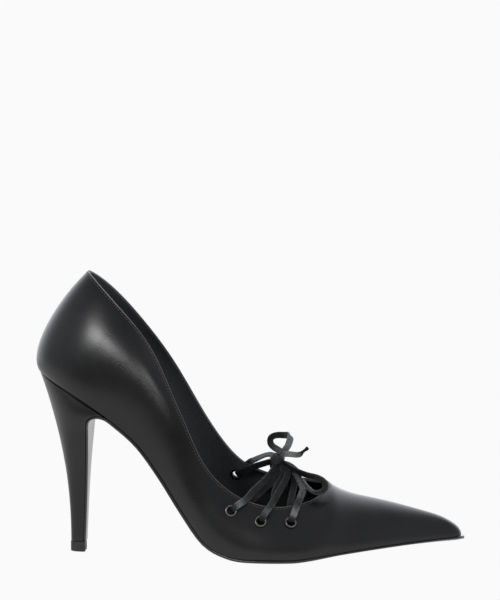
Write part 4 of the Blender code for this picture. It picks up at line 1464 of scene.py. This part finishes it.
def eyelet_profile():
    """Half section of the eyelet: a round roll outside, a thin barrel and a flatter clench inside."""
    roll_r = (EYELET_FLANGE_R - EYELET_BORE_R) / 2
    roll = [
        (EYELET_BORE_R + roll_r - roll_r * math.cos(t), GAP + EYELET_ROLL_LIFT + EYELET_RIM * math.sin(t))
        for t in np.linspace(0, math.pi, EYELET_ROLL_POINTS)
    ]
    outside = [(EYELET_FLANGE_R - 0.1, GAP * 0.2), (EYELET_BORE_R + EYELET_BARREL, GAP * 0.2)]
    inside = -WALL - GAP
    clench = [
        (EYELET_BORE_R + EYELET_BARREL, inside + 0.2),
        (EYELET_FLANGE_R - 0.3, inside + 0.1),
        (EYELET_FLANGE_R - 0.2, inside - 0.2),
        (EYELET_BORE_R + 0.4, inside - 0.45),
        (EYELET_BORE_R, inside - 0.2),
    ]
    return roll + outside + clench


def turned_eyelet(place, normal):
    """Spins the profile into a ring and stands it on the leather."""
    profile = eyelet_profile()
    ring = bmesh.new()
    bmesh.ops.create_circle(ring, segments=len(profile), radius=1.0)
    for point, (r, z) in zip(ring.verts, profile):
        point.co = (r, 0.0, z)
    bmesh.ops.spin(
        ring, geom=ring.verts[:] + ring.edges[:], cent=(0.0, 0.0, 0.0), axis=(0.0, 0.0, 1.0),
        dvec=(0.0, 0.0, 0.0), angle=2 * math.pi, steps=EYELET_STEPS, use_merge=True, use_duplicate=False,
    )
    stand = Matrix.Translation(place) @ normal.to_track_quat("Z", "Y").to_matrix().to_4x4()
    bmesh.ops.transform(ring, matrix=stand, verts=ring.verts)
    bmesh.ops.remove_doubles(ring, verts=ring.verts, dist=WELD)
    bmesh.ops.recalc_face_normals(ring, faces=ring.faces)
    return ring


for row, (place, normal, _) in zip(EYELETS, EYELET_FRAMES):
    seat, top = pressed_wall.find_nearest(Vector(place))[0], Vector(normal)
    ring = turned_eyelet(seat, top)

    def rim_wear(point):
        height = (point.co - seat).dot(top)
        return max(0.0, min(1.0, (height - RIM_WEAR_STARTS) / RIM_WEAR_RUN))

    wear(ring, rim_wear)
    made = piece(row.name + "_rolled", ring, eyelet_metal)
    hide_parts(row.name)
print("eyelets:", len(EYELETS))

# %% [markdown]
# ## The lace through the eyelets
# From the gather under the knot, each strand comes over the topline, lies on the leather, goes down through
# its eyelet and returns inside to the gather. So each eyelet has one continuous strand, and the part on
# the leather is worked out from the eyelet, while the free part is a given route.

# %% Routes of the strands
Strand = namedtuple("Strand", "eyelet crossing rub outer inner")
# Each strand's third value makes its arch between the topline and the eyelet paler: a painted highlight on
# worn leather.
STRANDS = [
    Strand(0, 11.45, 0.75,
           [Lace(15.6, -1.0, 50.3, 0.86, 0.0, -0.51), Lace(12.7, -5.8, 45.4, 0.77, -0.02, -0.64),
            Lace(7.5, -14.5, 40.8, 0.67, -0.03, -0.74), Lace(2.5, -22.8, 37.0, 0.65, -0.03, -0.76)],
           [Lace(1.4, -23.4, 32.4, 0.6, -0.04, -0.8), Lace(5.5, -18.0, 35.2, 0.62, -0.04, -0.79),
            Lace(10.3, -12.0, 38.8, 0.62, 0.03, -0.78), Lace(14.9, -6.0, 43.2, 0.79, 0.06, -0.61),
            Lace(16.3, -2.5, 47.4, 0.97, 0.11, -0.21), Lace(15.8, -1.0, 50.1, 0.99, 0.07, 0.13)]),
    Strand(1, 10.38, 0.5,
           [Lace(16.2, -1.0, 49.9, 0.63, 0.11, 0.77), Lace(19.5, -4.0, 47.6, 0.79, 0.1, 0.6),
            Lace(20.9, -7.7, 44.9, 0.99, 0.04, -0.15), Lace(18.8, -13.9, 40.2, 0.88, 0.0, -0.48),
            Lace(15.6, -20.8, 35.0, 0.85, 0.0, -0.52)],
           [Lace(13.6, -23.6, 31.5, 0.98, 0.03, -0.21), Lace(14.3, -18.0, 35.7, 0.94, 0.02, -0.34),
            Lace(16.5, -11.0, 40.5, 0.88, 0.01, -0.47), Lace(18.8, -6.0, 44.2, 0.96, 0.03, -0.28),
            Lace(18.3, -3.0, 47.5, 0.93, 0.09, 0.36), Lace(16.2, -1.0, 49.7, 0.78, 0.1, 0.62)]),
    Strand(2, 9.22, 1.25,
           [Lace(16.2, -1.0, 50.3, 0.49, 0.11, 0.87), Lace(20.6, -3.2, 48.1, 0.44, -0.2, 0.87),
            Lace(24.9, -6.4, 44.7, 0.5, -0.33, 0.8, rub=0.4),
            Lace(27.7, -9.6, 41.1, 0.61, -0.31, 0.72, rub=0.75),
            Lace(29.6, -12.5, 38.1, 0.98, -0.06, 0.21, rub=0.9),
            Lace(28.8, -16.0, 34.5, 0.97, 0.03, -0.26, rub=0.65)],
           [Lace(22.9, -19.4, 29.0, 0.98, 0.04, -0.2), Lace(23.6, -14.5, 33.6, 0.98, 0.04, -0.2),
            Lace(24.6, -9.0, 39.0, 0.99, 0.05, -0.11), Lace(24.2, -5.0, 43.1, 0.92, 0.09, 0.37),
            Lace(20.6, -2.6, 47.4, 0.68, 0.11, 0.72), Lace(16.2, -1.0, 50.1, 0.55, 0.11, 0.83)]),
    Strand(3, 11.8, 0.3,
           [Lace(13.8, 0.0, 53.3, -0.77, -0.54, -0.33), Lace(10.9, 4.0, 53.7, -0.63, -0.53, -0.57),
            Lace(6.8, 9.7, 52.0, -0.39, -0.55, -0.74), Lace(3.2, 14.6, 49.8, -0.22, -0.52, -0.82),
            Lace(0.4, 19.0, 47.9, -0.14, -0.47, -0.87)],
           [Lace(-5.0, 19.5, 41.7, 0.47, -0.06, -0.88), Lace(-1.9, 17.0, 43.6, 0.48, 0.01, -0.88),
            Lace(2.9, 12.5, 46.0, 0.53, 0.13, -0.84), Lace(7.9, 7.5, 48.3, 0.59, 0.24, -0.77),
            Lace(12.1, 3.0, 50.1, 0.59, 0.29, -0.75), Lace(14.6, 0.5, 50.9, 0.46, 0.17, -0.87)]),
    Strand(4, 10.55, 0.4,
           even_lace((0.9, 0.3, -0.1), (15.3, -0.6, 50.2), (14.4, 6.0, 48.8), (12.0, 13.8, 46.0)),
           even_lace((0.9, 0.3, -0.1), (9.0, 17.0, 38.6), (13.0, 8.0, 45.6), (15.3, -0.6, 50.2))),
    Strand(5, 9.3, 0.4,
           even_lace((0.8, 0.5, 0.1), (15.3, -0.6, 50.2), (20.4, 6.0, 47.8), (24.2, 12.6, 43.8)),
           even_lace((0.8, 0.5, 0.1), (21.4, 15.6, 36.6), (19.4, 7.0, 44.8), (15.3, -0.6, 50.2))),
]
print("routes:", len(STRANDS))

# %% Strands through the eyelets
RIM_CLEAR = 0.35
RIM_RUB_AND_SHEEN = 0.2
THROUGH = -1.2
IN_HOLE = 1.0


def strand_route(strand):
    """One strand: its outer free part, over the leather, through the eyelet and its inner part."""
    eyelet = EYELETS[strand.eyelet]
    place, normal, _ = EYELET_FRAMES[strand.eyelet]
    rim, rim_normal, _ = wall_frame(strand.crossing, eyelet.side, 1.0)
    towards = rim - place
    towards = unit(towards - normal * (towards @ normal))
    inwards = np.array(strand.inner[0][:3]) - place
    inwards = unit(inwards - normal * (inwards @ normal))
    half = LACE_THICK / 2

    def lying(way, reach, height, width=1.0, rub=LACE_RUB):
        """A row of the route beside the eyelet: so far that way from its middle, so high over the leather."""
        across = np.cross(way, normal)
        across = across * math.copysign(1.0, across @ np.array(strand.outer[-1][3:6]))
        return Lace(*(place + way * reach + normal * height), *across, width, rub=rub)

    over_rim = rim + rim_normal * (half + RIM_CLEAR)
    return [
        *strand.outer,
        # Over the rim and on the arch beside the eyelet the lace is made paler: wear together with a painted
        # highlight.
        Lace(*over_rim, *lying(towards, 0.0, 0.0)[3:6], rub=RIM_RUB_AND_SHEEN),
        lying(towards, 6.0, half + 0.95, rub=strand.rub),
        lying(towards, 4.2, half + 1.45, rub=0.8 * strand.rub),
        lying(towards, 2.7, half + 1.1, 0.96),
        lying(towards, 1.2, 0.45, 0.9),
        lying(inwards, IN_HOLE, THROUGH, 0.88),
        lying(inwards, IN_HOLE + 0.5, -WALL - 2.1, 0.95),
        *strand.inner,
    ]


tied = bmesh.new()
for strand in STRANDS:
    shape, _ = flat_lace(strand_route(strand))
    join(tied, shape)
strands = piece("lace_strands", tied, soft_lace)
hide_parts("lace_bars")
print("strands:", len(STRANDS), "with", len(strands.data.polygons), "faces")

# %% The knot
KNOT_WRAPS = [
    even_lace((-0.3, 0.0, 0.95), (11.9, 0.4, 50.9), (12.6, -2.6, 50.7), (14.8, -3.5, 51.2),
              (17.2, -2.5, 51.8), (17.6, 0.4, 52.0), (15.0, 2.6, 51.4), (12.4, 1.8, 50.9)),
    even_lace((0.5, -0.1, 0.86), (12.2, 0.8, 53.6), (12.6, -2.6, 53.4), (14.9, -4.2, 52.6),
              (17.4, -3.0, 51.4), (17.8, 0.8, 51.2), (15.2, 3.0, 52.4), (12.8, 2.2, 53.4)),
]
KNOT_CORE = Vector((14.8, -0.6, 51.9))
KNOT_CORE_RADII = (2.7, 2.6, 2.8, 1.0)
KNOT_RUB = 0.22
shape = bmesh.new()
for wrap in KNOT_WRAPS:
    turn, _ = flat_lace([stop._replace(rub=KNOT_RUB) for stop in wrap])
    join(shape, turn)
core = Matrix.Translation(KNOT_CORE) @ Matrix.Diagonal(KNOT_CORE_RADII)
bmesh.ops.create_uvsphere(shape, u_segments=20, v_segments=12, radius=1.0, matrix=core)
knot = piece("lace_knot_wrap", shape, soft_lace)
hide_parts("lace_knot")
print("knot:", len(knot.data.polygons), "faces")

# %% [markdown]
# ## Floor and light
# The shoe stands on a white sweep, in front of a white backdrop. Black leather shows little but what it
# mirrors, so the room is what shapes it: white behind and below, dark in front and above. One softbox at
# the front left is the key light. Five snoots, lamps with a narrow cone, each light a small place on the
# heel counter, and together they draw its long highlight.

# %% Floor
TABLE_HALF_WIDTH = 0.7
TABLE_FRONT = -0.15
TABLE_BACK = 0.9
WHITE = 0.955
floor_shape = bmesh.new()
bmesh.ops.create_grid(floor_shape, x_segments=1, y_segments=1, size=0.5)
table_size = (2 * TABLE_HALF_WIDTH, TABLE_BACK - TABLE_FRONT, 1.0)
table_middle = (0.0, (TABLE_BACK + TABLE_FRONT) / 2, 0.0)
bmesh.ops.scale(floor_shape, vec=table_size, verts=floor_shape.verts)
bmesh.ops.translate(floor_shape, vec=table_middle, verts=floor_shape.verts)
floor_mesh = bpy.data.meshes.new("floor")
floor_shape.to_mesh(floor_mesh)
floor_shape.free()
floor = bpy.data.objects.new("floor", floor_mesh)
bpy.context.scene.collection.objects.link(floor)
floor_finish = Finish("white_sweep")
floor_finish.set(base_color=grey(0.0), roughness=0.9, specular_ior_level=0.0)
floor_finish.set(emission_color=grey(1.0), emission_strength=WHITE)
floor_mesh.materials.append(floor_finish.material)
print("floor:", [round(v, 2) for v in table_size[:2]], "m")

# %% The room
ROOM_TINT = (0.97, 0.99, 1.06, 1.0)
world = bpy.data.worlds.new("studio")
bpy.context.scene.world = world
world.use_nodes = True
room = Nodes(world.node_tree)
direction = room.node("ShaderNodeTexCoord").outputs["Generated"]
room_light = (
    room.axis("X", direction).between(-0.95, -0.4, 0.3, 0.0)
    + room.axis("X", direction).between(0.4, 0.9, 0.0, 0.3)
    + room.axis("Y", direction).between(0.1, 0.8, 0.0, 1.7)
    + room.axis("Z", direction).between(-0.1, 0.35, 0.2, 0.42)
)
seen = room.node("ShaderNodeLightPath").outputs["Is Camera Ray"]
picked = room.value("ShaderNodeMix", 0, {"data_type": "FLOAT"}, {"Factor": seen, 2: room_light, 3: WHITE})
background = room.tree.nodes["Background"]
room.plug(background.inputs["Strength"], picked)
room.plug(background.inputs["Color"], room.blend(seen, ROOM_TINT, grey(1.0)))
world.cycles.sampling_method = "NONE"
floor_finish.material.cycles.emission_sampling = "NONE"
bpy.context.scene.view_settings.view_transform = "Standard"
print("nodes of the room:", len(room.tree.nodes))

# %% Lamps
SNOOT_RADIUS = 0.01
SNOOT_BLEND = 0.8
LAMP_DISTANCE = 1.1
Softbox = namedtuple("Softbox", "name azimuth elevation roll x y z width height watts")
KEY = Softbox("key", -32.0, 29.0, -35.0, -0.055, -0.03, 0.105, 0.36, 0.22, 5.0)
Snoot = namedtuple("Snoot", "name azimuth elevation x y z cone watts")
SNOOTS = [
    Snoot("snoot_first", -16.0, 20.0, -0.081, -0.028, 0.117, 4.4, 5.8),
    Snoot("snoot_second", -9.0, 14.0, -0.076, -0.029, 0.114, 4.4, 4.9),
    Snoot("snoot_third", -3.0, 6.0, -0.071, -0.030, 0.109, 4.0, 2.6),
    Snoot("snoot_fourth", 4.0, -5.0, -0.062, -0.031, 0.100, 3.4, 2.4),
    Snoot("snoot_fifth", 17.0, 1.0, -0.058, -0.031, 0.098, 2.4, 3.4),
]


def hang(row, kind, roll=0.0):
    """Hangs a lamp at its bearing from the point that it lights, and turns it there."""
    lamp = bpy.data.lights.new(row.name, kind)
    lamp.energy = row.watts
    holder = bpy.data.objects.new(row.name, lamp)
    bpy.context.scene.collection.objects.link(holder)
    way = bearing(row.azimuth, row.elevation)
    holder.location = Vector((row.x, row.y, row.z)) + way * LAMP_DISTANCE
    turned_there = way.to_track_quat("Z", "Y").to_matrix() @ Matrix.Rotation(math.radians(roll), 3, "Z")
    holder.rotation_euler = turned_there.to_euler()
    return lamp


key_lamp = hang(KEY, "AREA", KEY.roll)
key_lamp.shape = "RECTANGLE"
key_lamp.size, key_lamp.size_y = KEY.width, KEY.height
for snoot in SNOOTS:
    lamp = hang(snoot, "SPOT")
    lamp.shadow_soft_size = SNOOT_RADIUS
    lamp.spot_size, lamp.spot_blend = math.radians(snoot.cone), SNOOT_BLEND
print("lights:", 1 + len(SNOOTS))
